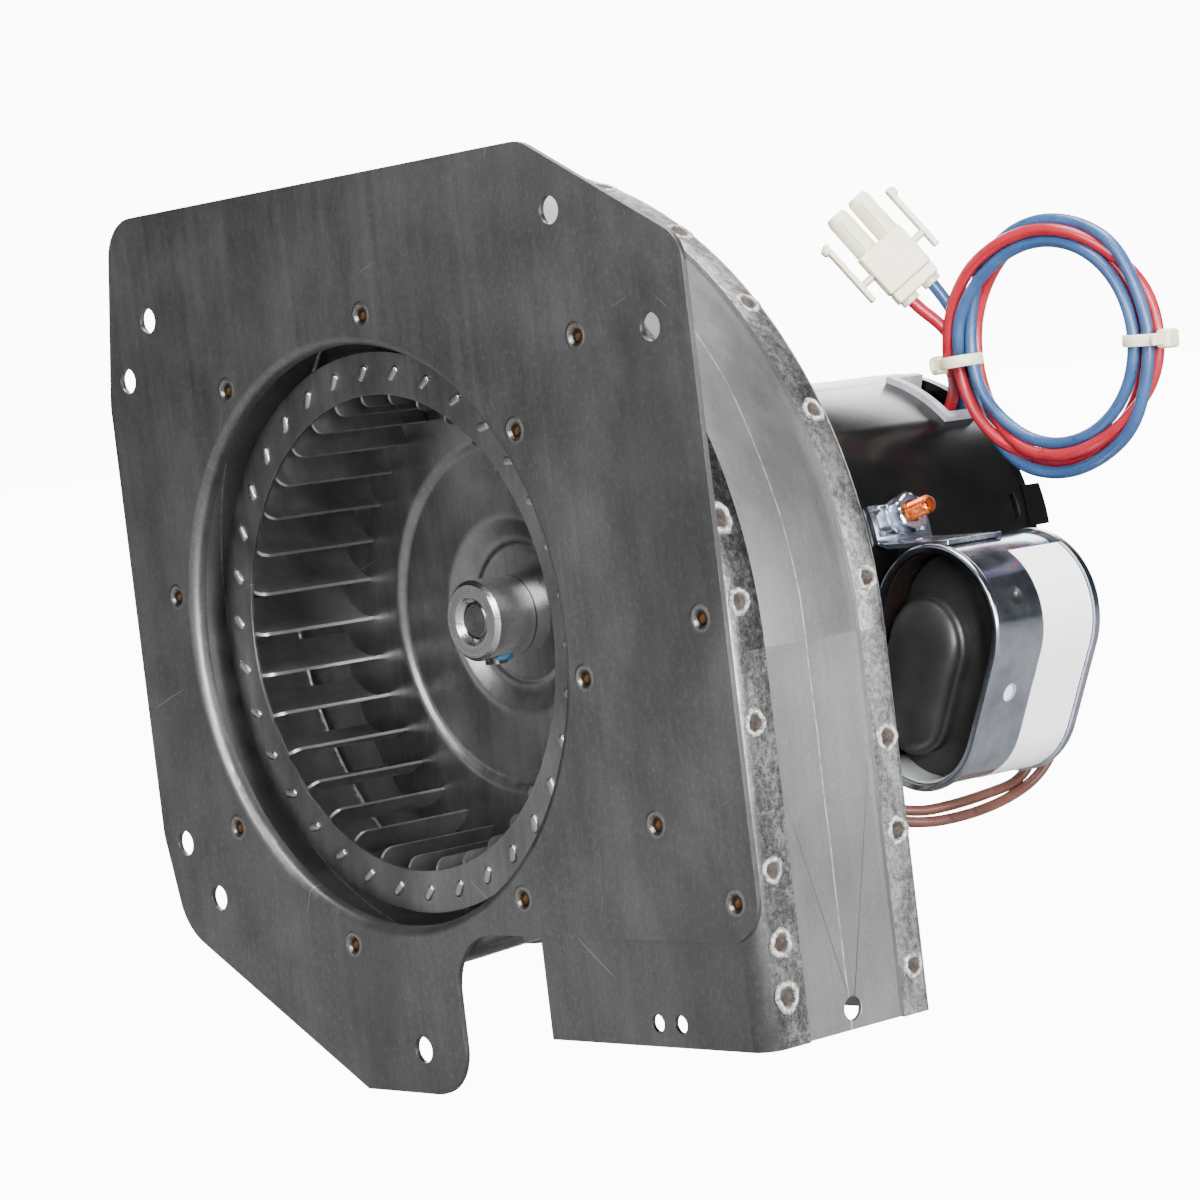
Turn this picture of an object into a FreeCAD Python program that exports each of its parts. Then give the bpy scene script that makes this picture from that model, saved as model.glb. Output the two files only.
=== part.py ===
import FreeCAD, Part
import math
import os

import Sketcher

# Combustion fan: a sheet-steel mounting plate and scroll housing, a forward-curved wheel on a
# shaded motor shaft, and a capacitor-run motor with its wiring.  Millimetres, +Z up, +Y into the
# housing along the fan's axis.  The origin is the centre of the round inlet, on the plate's front.

Vector = FreeCAD.Vector
doc = FreeCAD.newDocument("combustion_fan")

DIMENSIONS = {
    # mounting plate and its rolled inlet collar
    "plate_wall": 1.2,
    "mount_hole_radius": 2.8,
    "clinch_radius": 2.3,
    "clinch_depth": 0.7,
    "clinch_circle": 68.0,
    "collar_radius": 61.7,
    "collar_depth": 3.4,
    "collar_bend": 2.0,
    # scroll housing: a square-step spiral of four arcs, drawn in two flanged sheets and a wrapper
    "sheet": 1.0,
    "scroll_first_radius": 102.1,
    "scroll_step": 12.3,
    "scroll_centre_x": 4.5,
    "scroll_centre_z": -7.0,
    "scroll_tail_angle": 12.6,
    "outlet_left": 43.0,
    "outlet_bottom": -83.8,
    "front_flange_end": 12.4,
    "front_bend": 4.5,
    "back_face": 45.6,
    "back_flange_end": 38.5,
    "back_bend": 2.0,
    "eye_radius": 64.2,
    "wrapper_front": 5.8,
    "wrapper_back": 44.0,
    "tongue_radius": 4.0,
    "tongue_relief": 5.6,
    "shaft_hole_radius": 12.0,
    "outlet_hole_radius": 1.8,
    "side_hole_radius": 2.3,
    # wheel
    "ring_front": 7.6,
    "ring_wall": 0.8,
    "ring_inner": 50.7,
    "wheel_radius": 59.8,
    "blade_count": 34,
    "blade_inner": 48.3,
    "blade_outer": 58.8,
    "blade_wall": 0.7,
    "blade_back": 39.4,
    "blade_lean": 35.0,
    "blade_curve": 12.0,
    "blade_nose": 2.4,
    "tab_inner": 54.2,
    "tab_outer": 56.6,
    "tab_proud": 0.3,
    "slot_play": 0.15,
    "first_blade_angle": -1.4,
    "disc_step": 1.2,
    "disc_step_radius": 37.5,
    "disc_cup_outer": 21.0,
    "disc_cup_inner": 16.5,
    "disc_cup_face": 43.4,
    "hub_front": 28.3,
    "hub_radius": 8.8,
    "hub_neck": 7.0,
    "bore_radius": 3.97,
    "screw_radius": 2.4,
    "screw_place": 34.0,
    # motor
    "shaft_radius": 3.96,
    "shaft_front": 29.4,
    "shaft_back": 160.0,
    "shell_radius": 42.0,
    "shell_wall": 1.2,
    "shell_front": 74.0,
    "shell_back": 162.0,
    "shield_rear": 165.5,
    "bolt_circle": 36.5,
    "bolt_radius": 2.05,
    "bolt_clearance": 2.3,
    "nut_height": 2.6,
    "nut_corner": 4.6,
    "spacer_radius": 4.8,
    "spacer_end": 66.0,
    "slinger_radius": 27.0,
    "bearing_radius": 7.5,
    "stator_bore": 22.6,
    "stator_radius": 40.7,
    "core_front": 98.0,
    "core_back": 138.0,
    "rotor_radius": 22.3,
    "slot_count": 24,
    # capacitor, its shield and bracket
    "bracket_front": 111.0,
    "bracket_width": 17.5,
    "bracket_wall": 1.2,
    "stud_angle": 14.0,
    "stud_radius": 2.1,
    "stud_length": 11.5,
    "cap_x": 56.4,
    "cap_z": -22.5,
    "cap_tilt": 26.6,
    "cap_radius": 17.45,
    "cap_half_flat": 9.9,
    "cap_wall": 0.8,
    "cap_front": 107.0,
    "cap_back": 141.0,
    "bead_proud": 0.8,
    "bead_width": 2.2,
    # wiring
    "lead_radius": 1.4,
    "cap_lead_radius": 1.2,
    "coil_radius": 25.2,
    "coil_bundle": 4.1,
    "coil_turn": 5.5,
    "tie_wall": 0.9,
    "tie_width": 2.6,
}

COIL_CENTRE = Vector(65.0, 150.0, 44.3)


# ---------------------------------------------------------------- sizes and the sheet

class Size:
    """A size held both as a number and as an expression on the sheet's cells."""

    def __init__(self, value, text=None):
        self.value = float(value)
        self.text = text if text else f"{float(value):.6f}"

    def _joined(self, other, sign):
        other = as_size(other)
        value = self.value + other.value if sign == "+" else self.value - other.value
        return Size(value, f"({self.text} {sign} {other.text})")

    def __add__(self, other):
        return self._joined(other, "+")

    def __sub__(self, other):
        return self._joined(other, "-")

    def __neg__(self):
        return Size(-self.value, f"(-1 * {self.text})")

    def __mul__(self, factor):
        return Size(self.value * factor, f"({self.text} * {factor})")


def as_size(value):
    return value if isinstance(value, Size) else Size(value)


class Cells:
    """Gives each driving dimension as a Size, by its alias."""

    def __getattr__(self, name):
        return Size(DIMENSIONS[name], f"Dimensions.{name}")


def fill_sheet():
    sheet = doc.addObject("Spreadsheet::Sheet", "Dimensions")
    for row, (name, number) in enumerate(DIMENSIONS.items(), start=1):
        sheet.set(f"A{row}", name)
        sheet.set(f"B{row}", str(number))
        sheet.setAlias(f"B{row}", name)
    doc.recompute()


dim = Cells()
fill_sheet()
nodes = []


def keep(item, label):
    """Marks an object as one of the fan's pieces."""
    item.Label = label
    nodes.append(item)
    return item


# ---------------------------------------------------------------- sketches

def new_body(label):
    body = doc.addObject("PartDesign::Body", label)
    return keep(body, label)


def sketch_on(body, role, name, offset=0.0):
    """A sketch on one of the body's own planes, moved along that plane's normal."""
    plane = next(item for item in body.Origin.OriginFeatures if item.Role == role)
    sketch = body.newObject("Sketcher::SketchObject", name)
    sketch.AttachmentSupport = [(plane, "")]
    sketch.MapMode = "FlatFace"
    offset = as_size(offset)
    sketch.AttachmentOffset = FreeCAD.Placement(Vector(0, 0, offset.value), FreeCAD.Rotation())
    sketch.setExpression(".AttachmentOffset.Base.z", offset.text)
    return sketch


def facing_sketch(body, name, y):
    """A sketch in the X-Z plane at depth y.  Its normal points to the front."""
    return sketch_on(body, "XZ_Plane", name, -as_size(y))


def bind(sketch, constraint, size):
    """Adds a dimension and binds it to the sheet."""
    index = sketch.addConstraint(constraint)
    sketch.setExpression(f"Constraints[{index}]", size.text)


def pin_point(sketch, geometry, end, x, y):
    """Fixes one end of a line by its distances from the sketch's origin."""
    axes = ((x, "DistanceX", -2), (y, "DistanceY", -1))
    for size, kind, axis in axes:
        if abs(size.value) < 1e-9:
            sketch.addConstraint(Sketcher.Constraint("PointOnObject", geometry, end, axis))
        else:
            bind(sketch, Sketcher.Constraint(kind, -1, 1, geometry, end, size.value), size)


def add_polygon(sketch, corners):
    corners = [(as_size(x), as_size(y)) for x, y in corners]
    points = [Vector(x.value, y.value, 0) for x, y in corners]
    count = len(points)
    sides = [
        sketch.addGeometry(Part.LineSegment(points[i], points[(i + 1) % count]), False)
        for i in range(count)
    ]
    for i, side in enumerate(sides):
        following = sides[(i + 1) % count]
        sketch.addConstraint(Sketcher.Constraint("Coincident", side, 2, following, 1))
    for side, (x, y) in zip(sides, corners):
        pin_point(sketch, side, 1, x, y)


def add_circles(sketch, centres, radius):
    """Equal circles.  The first carries the radius, and the others equal it."""
    first = None
    for x, y in centres:
        circle = Part.Circle(Vector(x, y, 0), Vector(0, 0, 1), radius.value)
        index = sketch.addGeometry(circle, False)
        pin_point(sketch, index, 3, Size(x), Size(y))
        if first is None:
            first = index
            bind(sketch, Sketcher.Constraint("Radius", index, radius.value), radius)
        else:
            sketch.addConstraint(Sketcher.Constraint("Equal", first, index))


def add_path(sketch, edges):
    """Lines and arcs that already meet end to end."""
    for edge in edges:
        sketch.addGeometry(edge, False)


def line(a, b):
    return Part.LineSegment(Vector(*a, 0), Vector(*b, 0))


def arc_about(centre, radius, start_degrees, end_degrees):
    circle = Part.Circle(Vector(*centre, 0), Vector(0, 0, 1), radius)
    return Part.ArcOfCircle(circle, math.radians(start_degrees), math.radians(end_degrees))


def around(radius, degrees, centre=(0.0, 0.0)):
    angle = math.radians(degrees)
    return centre[0] + radius * math.cos(angle), centre[1] + radius * math.sin(angle)


def sector(inner, outer, low, high):
    """A piece of a ring about the fan's axis, between two angles."""
    return [
        arc_about((0, 0), outer, low, high),
        line(around(outer, high), around(inner, high)),
        arc_about((0, 0), inner, low, high),
        line(around(inner, low), around(outer, low)),
    ]


def rounded_outline(corners):
    """A closed outline through (x, z, radius) corners, each rounded by a tangent arc."""
    count = len(corners)
    starts, ends, arcs = [], [], []
    for i, (x, z, radius) in enumerate(corners):
        here = Vector(x, z, 0)
        before = (Vector(*corners[i - 1][:2], 0) - here).normalize()
        after = (Vector(*corners[(i + 1) % count][:2], 0) - here).normalize()
        if radius == 0:
            starts.append(here)
            ends.append(here)
            arcs.append(None)
            continue
        half = before.getAngle(after) / 2
        setback = radius / math.tan(half)
        bisector = (before + after).normalize()
        centre = here + bisector * (radius / math.sin(half))
        starts.append(here + before * setback)
        ends.append(here + after * setback)
        arcs.append(Part.Arc(starts[-1], centre - bisector * radius, ends[-1]))
    edges = []
    for i in range(count):
        if arcs[i]:
            edges.append(arcs[i])
        edges.append(Part.LineSegment(ends[i], starts[(i + 1) % count]))
    return edges


# ---------------------------------------------------------------- part design features

def volume_of(body):
    doc.recompute()
    if not body.Tip or body.Shape.isNull():
        return 0.0
    return body.Shape.Volume


def add_pad(body, sketch, length, name):
    """Pads a sketch that faces the front towards the rear."""
    pad = body.newObject("PartDesign::Pad", name)
    pad.Profile = sketch
    pad.Length = as_size(length).value
    pad.setExpression("Length", as_size(length).text)
    pad.Reversed = True
    body.Tip = pad
    doc.recompute()
    return pad


def add_pocket(body, sketch, depth, name, reverse=False):
    """Cuts a sketch that faces the front towards the rear, and proves that it cut."""
    before = volume_of(body)
    pocket = body.newObject("PartDesign::Pocket", name)
    pocket.Profile = sketch
    pocket.Length = as_size(depth).value
    pocket.setExpression("Length", as_size(depth).text)
    pocket.Reversed = reverse
    body.Tip = pocket
    if volume_of(body) > before - 1e-6:
        raise RuntimeError(f"{name} cuts nothing")
    return pocket


def add_ring_of(body, feature, sketch, count, name):
    """Repeats a feature round the fan's axis."""
    pattern = body.newObject("PartDesign::PolarPattern", name)
    pattern.Originals = [feature]
    pattern.Axis = (sketch, ["N_Axis"])
    pattern.Angle = 360
    pattern.Occurrences = int(count.value)
    pattern.setExpression("Occurrences", count.text)
    body.Tip = pattern
    doc.recompute()
    return pattern


def add_turn(body, profile, name):
    """Revolves a radius-depth outline round the fan's axis."""
    outline = sketch_on(body, "XY_Plane", f"{name}_section")
    add_polygon(outline, profile)
    turn = body.newObject("PartDesign::Revolution", name)
    turn.Profile = outline
    turn.ReferenceAxis = (outline, ["V_Axis"])
    turn.Angle = 360
    body.Tip = turn
    doc.recompute()
    return turn


def lathe(label, profile):
    body = new_body(label)
    add_turn(body, profile, f"{label}_turned")
    return body


def round_circles(body, radius, name, rings):
    """Fillets the circular edges that lie at the given (radius, depth) pairs."""
    doc.recompute()
    base = body.Tip
    wanted = []
    for number, edge in enumerate(base.Shape.Edges, start=1):
        curve = edge.Curve
        if not isinstance(curve, Part.Circle) or abs(abs(curve.Axis.y) - 1) > 1e-6:
            continue
        for ring, depth in rings:
            if abs(curve.Radius - ring) < 0.01 and abs(curve.Center.y - depth) < 0.01:
                wanted.append(f"Edge{number}")
    if not wanted:
        raise RuntimeError(f"{name} finds no edge")
    fillet = body.newObject("PartDesign::Fillet", name)
    fillet.Base = (base, wanted)
    fillet.Radius = as_size(radius).value
    fillet.setExpression("Radius", as_size(radius).text)
    body.Tip = fillet
    doc.recompute()
    return fillet


# ---------------------------------------------------------------- primitives

def toward(at, direction):
    return FreeCAD.Placement(Vector(*at), FreeCAD.Rotation(Vector(0, 0, 1), Vector(*direction)))


def cylinder(name, radius, length, at, direction=(0, 1, 0)):
    item = doc.addObject("Part::Cylinder", name)
    item.setExpression("Radius", as_size(radius).text)
    item.setExpression("Height", as_size(length).text)
    item.Placement = toward(at, direction)
    return item


def hexagon(name, corner, length, at, direction=(0, 1, 0)):
    item = doc.addObject("Part::Prism", name)
    item.Polygon = 6
    item.setExpression("Circumradius", as_size(corner).text)
    item.setExpression("Height", as_size(length).text)
    item.Placement = toward(at, direction)
    return item


def set_in(frame, items):
    """Moves primitives, placed in a local frame, into the fan's frame."""
    for item in items:
        item.Placement = frame.multiply(item.Placement)
    return items


def box(name, size, corner):
    item = doc.addObject("Part::Box", name)
    item.Length, item.Width, item.Height = size
    item.Placement = FreeCAD.Placement(Vector(*corner), FreeCAD.Rotation())
    return item


def cut(name, base, tool):
    item = doc.addObject("Part::Cut", name)
    item.Base = base
    item.Tool = tool
    return item


def fuse(name, parts):
    item = doc.addObject("Part::MultiFuse", name)
    item.Shapes = parts
    return item


def group(label, parts):
    """Identical pieces as one node of separate solids."""
    item = doc.addObject("Part::Compound", label)
    item.Links = parts
    return keep(item, label)


def bolt_places():
    """The four through bolts, as (x, z)."""
    return [around(dim.bolt_circle.value, 45 + 90 * i) for i in range(4)]


# ---------------------------------------------------------------- mounting plate

PLATE_CORNERS = [
    (-83.5, -42.0, 12.0),
    (-83.5, 55.6, 12.0),
    (-75.8, 96.3, 9.9),
    (66.4, 96.3, 10.4),
    (109.3, 72.5, 7.6),
    (109.3, -62.4, 9.0),
    (15.8, -62.4, 13.0),
    (15.8, -97.0, 10.5),
    (-18.8, -97.0, 0.0),
    (-79.0, -63.5, 13.8),
]
MOUNT_HOLES = [
    (-65.2, 73.2),
    (-65.2, -56.3),
    (-75.5, 60.6),
    (-75.5, -44.0),
    (1.8, -87.6),
    (73.2, 81.8),
    (98.3, 56.6),
]
CLINCH_ANGLES = [81.1, 125.2, 170.2, -143.6, -105.3, -53.6, -8.6, 35.9]
CORNER_CLINCHES = [(76.6, 56.8), (102.7, 0.4), (83.2, -39.4), (103.2, -54.5)]


def make_mounting_plate():
    body = new_body("mounting_plate")
    outline = facing_sketch(body, "plate_outline", 0)
    add_path(outline, rounded_outline(PLATE_CORNERS))
    add_circles(outline, [(0, 0)], dim.collar_radius + dim.collar_bend)
    add_circles(outline, MOUNT_HOLES, dim.mount_hole_radius)
    add_pad(body, outline, dim.plate_wall, "plate_sheet")

    inside = dim.collar_radius
    outside = inside + dim.plate_wall
    root = inside + dim.collar_bend + 1
    collar = [
        (root, 0),
        (inside, 0),
        (inside, dim.collar_depth),
        (outside, dim.collar_depth),
        (outside, dim.plate_wall),
        (root, dim.plate_wall),
    ]
    add_turn(body, collar, "plate_collar")
    round_circles(body, dim.collar_bend, "collar_front_bend", [(inside.value, 0)])
    inner_bend = dim.collar_bend - dim.plate_wall
    round_circles(body, inner_bend, "collar_back_bend", [(outside.value, dim.plate_wall.value)])

    dimples = facing_sketch(body, "plate_clinches", 0)
    ring = [around(dim.clinch_circle.value, angle) for angle in CLINCH_ANGLES]
    add_circles(dimples, ring + CORNER_CLINCHES, dim.clinch_radius)
    add_pocket(body, dimples, dim.clinch_depth, "plate_clinch_dimples")


# ---------------------------------------------------------------- scroll housing

def scroll_path(inset):
    """The spiral from the outlet's right wall round to the tongue, moved inwards by inset.

    Returns the edges, the start and the point where the tail meets the outlet's left wall.
    """
    first = dim.scroll_first_radius.value
    step = dim.scroll_step.value
    x, z = dim.scroll_centre_x.value, dim.scroll_centre_z.value
    centres = [(x, z), (x, z + step), (x - step, z + step), (x - step, z)]
    radii = [first - step * i - inset for i in range(4)]
    tail = dim.scroll_tail_angle.value
    right = x + first - inset
    start = (right, dim.outlet_bottom.value)
    edges = [line(start, (right, z))]
    for i, (centre, radius) in enumerate(zip(centres, radii)):
        end = 90 * (i + 1) if i < 3 else 270 + tail
        edges.append(arc_about(centre, radius, 90 * i, end))
    leave = around(radii[3], 270 + tail, centres[3])
    left = dim.outlet_left.value + inset
    corner = (left, leave[1] + (left - leave[0]) * math.tan(math.radians(tail)))
    return edges, start, leave, corner


def make_scroll_panel(label, face, bend, flange_end, openings):
    """A flat side panel with a bend and flange that follow the spiral.

    face is the depth of the panel's outer side, and the flange points away from it.
    """
    inward = 1 if flange_end.value > face.value else -1
    body = new_body(label)
    edges, start, leave, corner = scroll_path(0.0)
    flat_edges, flat_start, flat_leave, _ = scroll_path(bend.value)
    tail = dim.scroll_tail_angle.value
    stop = around(dim.tongue_relief.value, tail + 180, corner)
    flat_stop = around(bend.value, tail + 90, stop)
    foot = (corner[0], start[1])

    sheet_front = face if inward == 1 else face - dim.sheet
    flat = facing_sketch(body, f"{label}_flat", sheet_front)
    add_path(flat, flat_edges)
    rest = [flat_leave, flat_stop, stop, corner, foot, flat_start]
    add_path(flat, [line(a, b) for a, b in zip(rest, rest[1:])])
    for centres, radius in openings:
        add_circles(flat, centres, radius)
    add_pad(body, flat, dim.sheet, f"{label}_sheet")

    spine = facing_sketch(body, f"{label}_spine", face)
    add_path(spine, edges + [line(leave, stop)])
    section = sketch_on(body, "XY_Plane", f"{label}_section", dim.outlet_bottom)
    right = start[0]
    outer, inner = bend.value, bend.value - dim.sheet.value
    y0 = face.value
    middle = (right - outer, y0 + inward * outer)
    turn = math.sqrt(0.5)

    def bend_point(radius, cos, sin):
        return Vector(middle[0] + radius * cos, middle[1] - inward * radius * sin, 0)

    ends = {radius: (bend_point(radius, 0, 1), bend_point(radius, 1, 0)) for radius in (outer, inner)}
    arcs = [
        Part.Arc(ends[radius][0], bend_point(radius, turn, turn), ends[radius][1])
        for radius in (outer, inner)
    ]
    outer_foot = Vector(right, flange_end.value, 0)
    inner_foot = Vector(right - dim.sheet.value, flange_end.value, 0)
    add_path(section, arcs)
    add_path(section, [
        Part.LineSegment(ends[outer][1], outer_foot),
        Part.LineSegment(outer_foot, inner_foot),
        Part.LineSegment(inner_foot, ends[inner][1]),
        Part.LineSegment(ends[inner][0], ends[outer][0]),
    ])
    pipe = body.newObject("PartDesign::AdditivePipe", f"{label}_flange")
    pipe.Profile = section
    pipe.Spine = (spine, [f"Edge{i + 1}" for i in range(len(edges) + 1)])
    body.Tip = pipe
    doc.recompute()
    return body


OUTLET_HOLES = [(75.6, -79.1), (82.3, -79.1)]


def make_scroll_front_panel():
    openings = [([(0, 0)], dim.eye_radius), (OUTLET_HOLES, dim.outlet_hole_radius)]
    make_scroll_panel(
        "scroll_front_panel", dim.plate_wall, dim.front_bend, dim.front_flange_end, openings
    )


def make_scroll_back_panel():
    openings = [([(0, 0)], dim.shaft_hole_radius), (bolt_places(), dim.bolt_clearance)]
    face = dim.back_face + dim.sheet
    make_scroll_panel("scroll_back_panel", face, dim.back_bend, dim.back_flange_end, openings)


def wrapper_side(inset, tongue):
    """One face of the wrapper, from the right wall's foot to the left wall's foot."""
    edges, _, leave, corner = scroll_path(inset)
    tail = math.radians(dim.scroll_tail_angle.value)
    setback = tongue * math.tan((math.pi / 2 + tail) / 2)
    bend_start = (corner[0] - setback * math.cos(tail), corner[1] - setback * math.sin(tail))
    bend_end = (corner[0], corner[1] - setback)
    centre = (corner[0] - tongue, bend_end[1])
    nose = arc_about(centre, tongue, 0, 90 + math.degrees(tail))
    foot = (corner[0], dim.outlet_bottom.value)
    return edges + [line(leave, bend_start), nose, line(bend_end, foot)], foot


def make_scroll_wrapper():
    body = new_body("scroll_wrapper")
    outer, outer_foot = wrapper_side(dim.sheet.value, dim.tongue_radius.value)
    inner, inner_foot = wrapper_side(2 * dim.sheet.value, (dim.tongue_radius + dim.sheet).value)
    section = facing_sketch(body, "wrapper_section", dim.wrapper_front)
    right = dim.scroll_centre_x.value + dim.scroll_first_radius.value
    bottom = dim.outlet_bottom.value
    add_path(section, outer + inner)
    add_path(section, [
        line(outer_foot, inner_foot),
        line((right - dim.sheet.value, bottom), (right - 2 * dim.sheet.value, bottom)),
    ])
    add_pad(body, section, dim.wrapper_back - dim.wrapper_front, "wrapper_sheet")

    side_hole = sketch_on(body, "YZ_Plane", "wrapper_side_hole", right - 4 * dim.sheet.value)
    add_circles(side_hole, [(25.6, -79.6)], dim.side_hole_radius)
    add_pocket(body, side_hole, dim.sheet * 5, "wrapper_side_hole_cut", reverse=True)


# ---------------------------------------------------------------- wheel

def blade_outline(inner, outer, wall):
    """A strip of the forward-curved blade between two radii, before it is turned into place."""
    lean = math.radians(dim.blade_lean.value)
    root = dim.blade_inner.value
    reach = -root * math.cos(lean) + math.sqrt(
        dim.blade_outer.value ** 2 - (root * math.sin(lean)) ** 2
    )
    along = Vector(math.cos(lean), -math.sin(lean), 0)
    across = Vector(along.y, -along.x, 0)
    chord_middle = Vector(root, 0, 0) + along * (reach / 2)
    curve = dim.blade_curve.value
    centre = chord_middle + across * math.sqrt(curve ** 2 - (reach / 2) ** 2)
    turn = FreeCAD.Rotation(Vector(0, 0, 1), dim.first_blade_angle.value)

    def meeting(radius, strip_radius):
        """Where the strip's circle crosses a circle round the fan's axis."""
        distance = centre.Length
        toward_centre = centre / distance
        side = Vector(-toward_centre.y, toward_centre.x, 0)
        a = (radius ** 2 - strip_radius ** 2 + distance ** 2) / (2 * distance)
        h = math.sqrt(radius ** 2 - a ** 2)
        return toward_centre * a + side * h

    corners = {}
    for strip_radius in (curve - wall / 2, curve + wall / 2):
        for radius in (inner, outer):
            corners[strip_radius, radius] = meeting(radius, strip_radius)

    def strip_arc(strip_radius):
        a, b = corners[strip_radius, inner], corners[strip_radius, outer]
        outward = ((a + b) / 2 - centre).normalize()
        return a, centre + outward * strip_radius, b

    near, far = curve - wall / 2, curve + wall / 2
    edges = []
    for strip_radius in (near, far):
        a, middle, b = (turn.multVec(point) for point in strip_arc(strip_radius))
        edges.append(Part.Arc(a, middle, b))
    for radius in (inner, outer):
        a, b = (turn.multVec(corners[strip, radius]) for strip in (near, far))
        edges.append(Part.LineSegment(a, b))
    return edges


def make_wheel_front_ring():
    ring_back = dim.ring_front + dim.ring_wall
    lip = dim.wheel_radius - dim.ring_wall
    body = lathe("wheel_front_ring", [
        (dim.ring_inner, dim.ring_front),
        (dim.wheel_radius, dim.ring_front),
        (dim.wheel_radius, ring_back + 1),
        (lip, ring_back + 1),
        (lip, ring_back),
        (dim.ring_inner, ring_back),
    ])
    slot = facing_sketch(body, "ring_slot", dim.ring_front)
    play = dim.slot_play.value
    add_path(slot, blade_outline(
        dim.tab_inner.value - play, dim.tab_outer.value + play, dim.blade_wall.value + 2 * play
    ))
    first = add_pocket(body, slot, dim.ring_wall, "ring_slot_cut")
    add_ring_of(body, first, slot, dim.blade_count, "ring_slots")


def make_wheel_blades():
    blade_front = dim.ring_front + dim.ring_wall
    angle_step = 360 / dim.blade_count.value
    strip = doc.addObject("PartDesign::Body", "blade")
    outline = facing_sketch(strip, "blade_section", blade_front)
    add_path(outline, blade_outline(
        dim.blade_inner.value, dim.blade_outer.value, dim.blade_wall.value
    ))
    add_pad(strip, outline, dim.blade_back - blade_front, "blade_strip")
    tab = facing_sketch(strip, "tab_section", dim.ring_front - dim.tab_proud)
    add_path(tab, blade_outline(dim.tab_inner.value, dim.tab_outer.value, dim.blade_wall.value))
    add_pad(strip, tab, dim.ring_wall + dim.tab_proud + 0.5, "blade_tab")
    round_blade_nose(strip, blade_front.value)
    copies = []
    for i in range(int(dim.blade_count.value)):
        blade = doc.addObject("Part::Feature", f"blade_{i + 1}")
        blade.Shape = strip.Shape
        turn = FreeCAD.Rotation(Vector(0, 1, 0), -angle_step * i)
        blade.Placement = FreeCAD.Placement(Vector(), turn)
        copies.append(blade)
    group("wheel_blades", copies)


def round_blade_nose(strip, blade_front):
    """Rounds the blade's front corner on the air side."""
    base = strip.Tip
    wanted = []
    for number, edge in enumerate(base.Shape.Edges, start=1):
        ends = [vertex.Point for vertex in edge.Vertexes]
        at_front = all(abs(point.y - blade_front) < 0.01 for point in ends)
        radii = [math.hypot(point.x, point.z) for point in ends]
        at_root = all(abs(radius - dim.blade_inner.value) < 0.05 for radius in radii)
        if at_front and at_root:
            wanted.append(f"Edge{number}")
    fillet = strip.newObject("PartDesign::Fillet", "blade_nose")
    fillet.Base = (base, wanted)
    fillet.Radius = dim.blade_nose.value
    fillet.setExpression("Radius", dim.blade_nose.text)
    strip.Tip = fillet
    doc.recompute()


def make_wheel_back_disc():
    front = dim.blade_back
    wall = dim.ring_wall
    lower = front + dim.disc_step
    cup = dim.disc_cup_face
    body = lathe("wheel_back_disc", [
        (dim.hub_neck, cup),
        (dim.disc_cup_inner, cup),
        (dim.disc_cup_outer, lower),
        (dim.disc_step_radius, lower),
        (dim.disc_step_radius + 1, front),
        (dim.wheel_radius, front),
        (dim.wheel_radius, front + wall),
        (dim.disc_step_radius + 1.3, front + wall),
        (dim.disc_step_radius + 0.3, lower + wall),
        (dim.disc_cup_outer + 0.6, lower + wall),
        (dim.disc_cup_inner + 0.6, cup + wall),
        (dim.hub_neck, cup + wall),
    ])
    edges = [(dim.disc_cup_outer.value, lower.value), (dim.disc_cup_inner.value, cup.value)]
    round_circles(body, 0.6, "disc_cup_bends", edges)


def make_wheel_hub():
    cup = dim.disc_cup_face
    lead_in = 0.9
    body = lathe("wheel_hub", [
        (dim.bore_radius, dim.hub_front + 1.3),
        (dim.bore_radius + 1.3, dim.hub_front),
        (dim.hub_radius - lead_in, dim.hub_front),
        (dim.hub_radius, dim.hub_front + lead_in),
        (dim.hub_radius, cup),
        (dim.hub_neck, cup),
        (dim.hub_neck, cup + dim.ring_wall + 0.3),
        (dim.bore_radius, cup + dim.ring_wall + 0.3),
    ])
    hole = sketch_on(body, "XY_Plane", "hub_screw_hole", -dim.hub_radius * 1.2)
    add_circles(hole, [(0, dim.screw_place.value)], dim.screw_radius)
    add_pocket(body, hole, dim.hub_radius, "hub_screw_hole_cut", reverse=True)


def make_hub_set_screw():
    inner, outer = 4.05, 9.9
    place = dim.screw_place.value
    barrel = cylinder("screw_barrel", dim.screw_radius, outer - inner, (0, place, -outer), (0, 0, 1))
    socket = hexagon("screw_socket", 1.35, 2.2, (0, place, -outer - 0.01), (0, 0, 1))
    keep(cut("hub_set_screw", barrel, socket), "hub_set_screw")


# ---------------------------------------------------------------- rotor of the motor

def make_motor_shaft():
    chamfer = 0.5
    lathe("motor_shaft", [
        (0, dim.shaft_front),
        (dim.shaft_radius - chamfer, dim.shaft_front),
        (dim.shaft_radius, dim.shaft_front + chamfer),
        (dim.shaft_radius, dim.shaft_back - chamfer),
        (dim.shaft_radius - chamfer, dim.shaft_back),
        (0, dim.shaft_back),
    ])


def make_cooling_fan():
    """The small fan between housing and motor: a disc with twelve flat vanes."""
    disc_front = 50.0
    vane_end = 60.0
    body = lathe("cooling_fan", [
        (dim.shaft_radius, disc_front),
        (dim.slinger_radius, disc_front),
        (dim.slinger_radius, disc_front + 1),
        (8, disc_front + 1),
        (8, vane_end),
        (dim.shaft_radius, vane_end),
    ])
    vane = facing_sketch(body, "cooling_vane_section", disc_front + 1)
    add_polygon(vane, [(7, -0.5), (dim.slinger_radius, -0.5), (dim.slinger_radius, 0.5), (7, 0.5)])
    first = add_pad(body, vane, vane_end - disc_front - 1.5, "cooling_vane")
    add_ring_of(body, first, vane, Size(12), "cooling_vanes")


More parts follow.
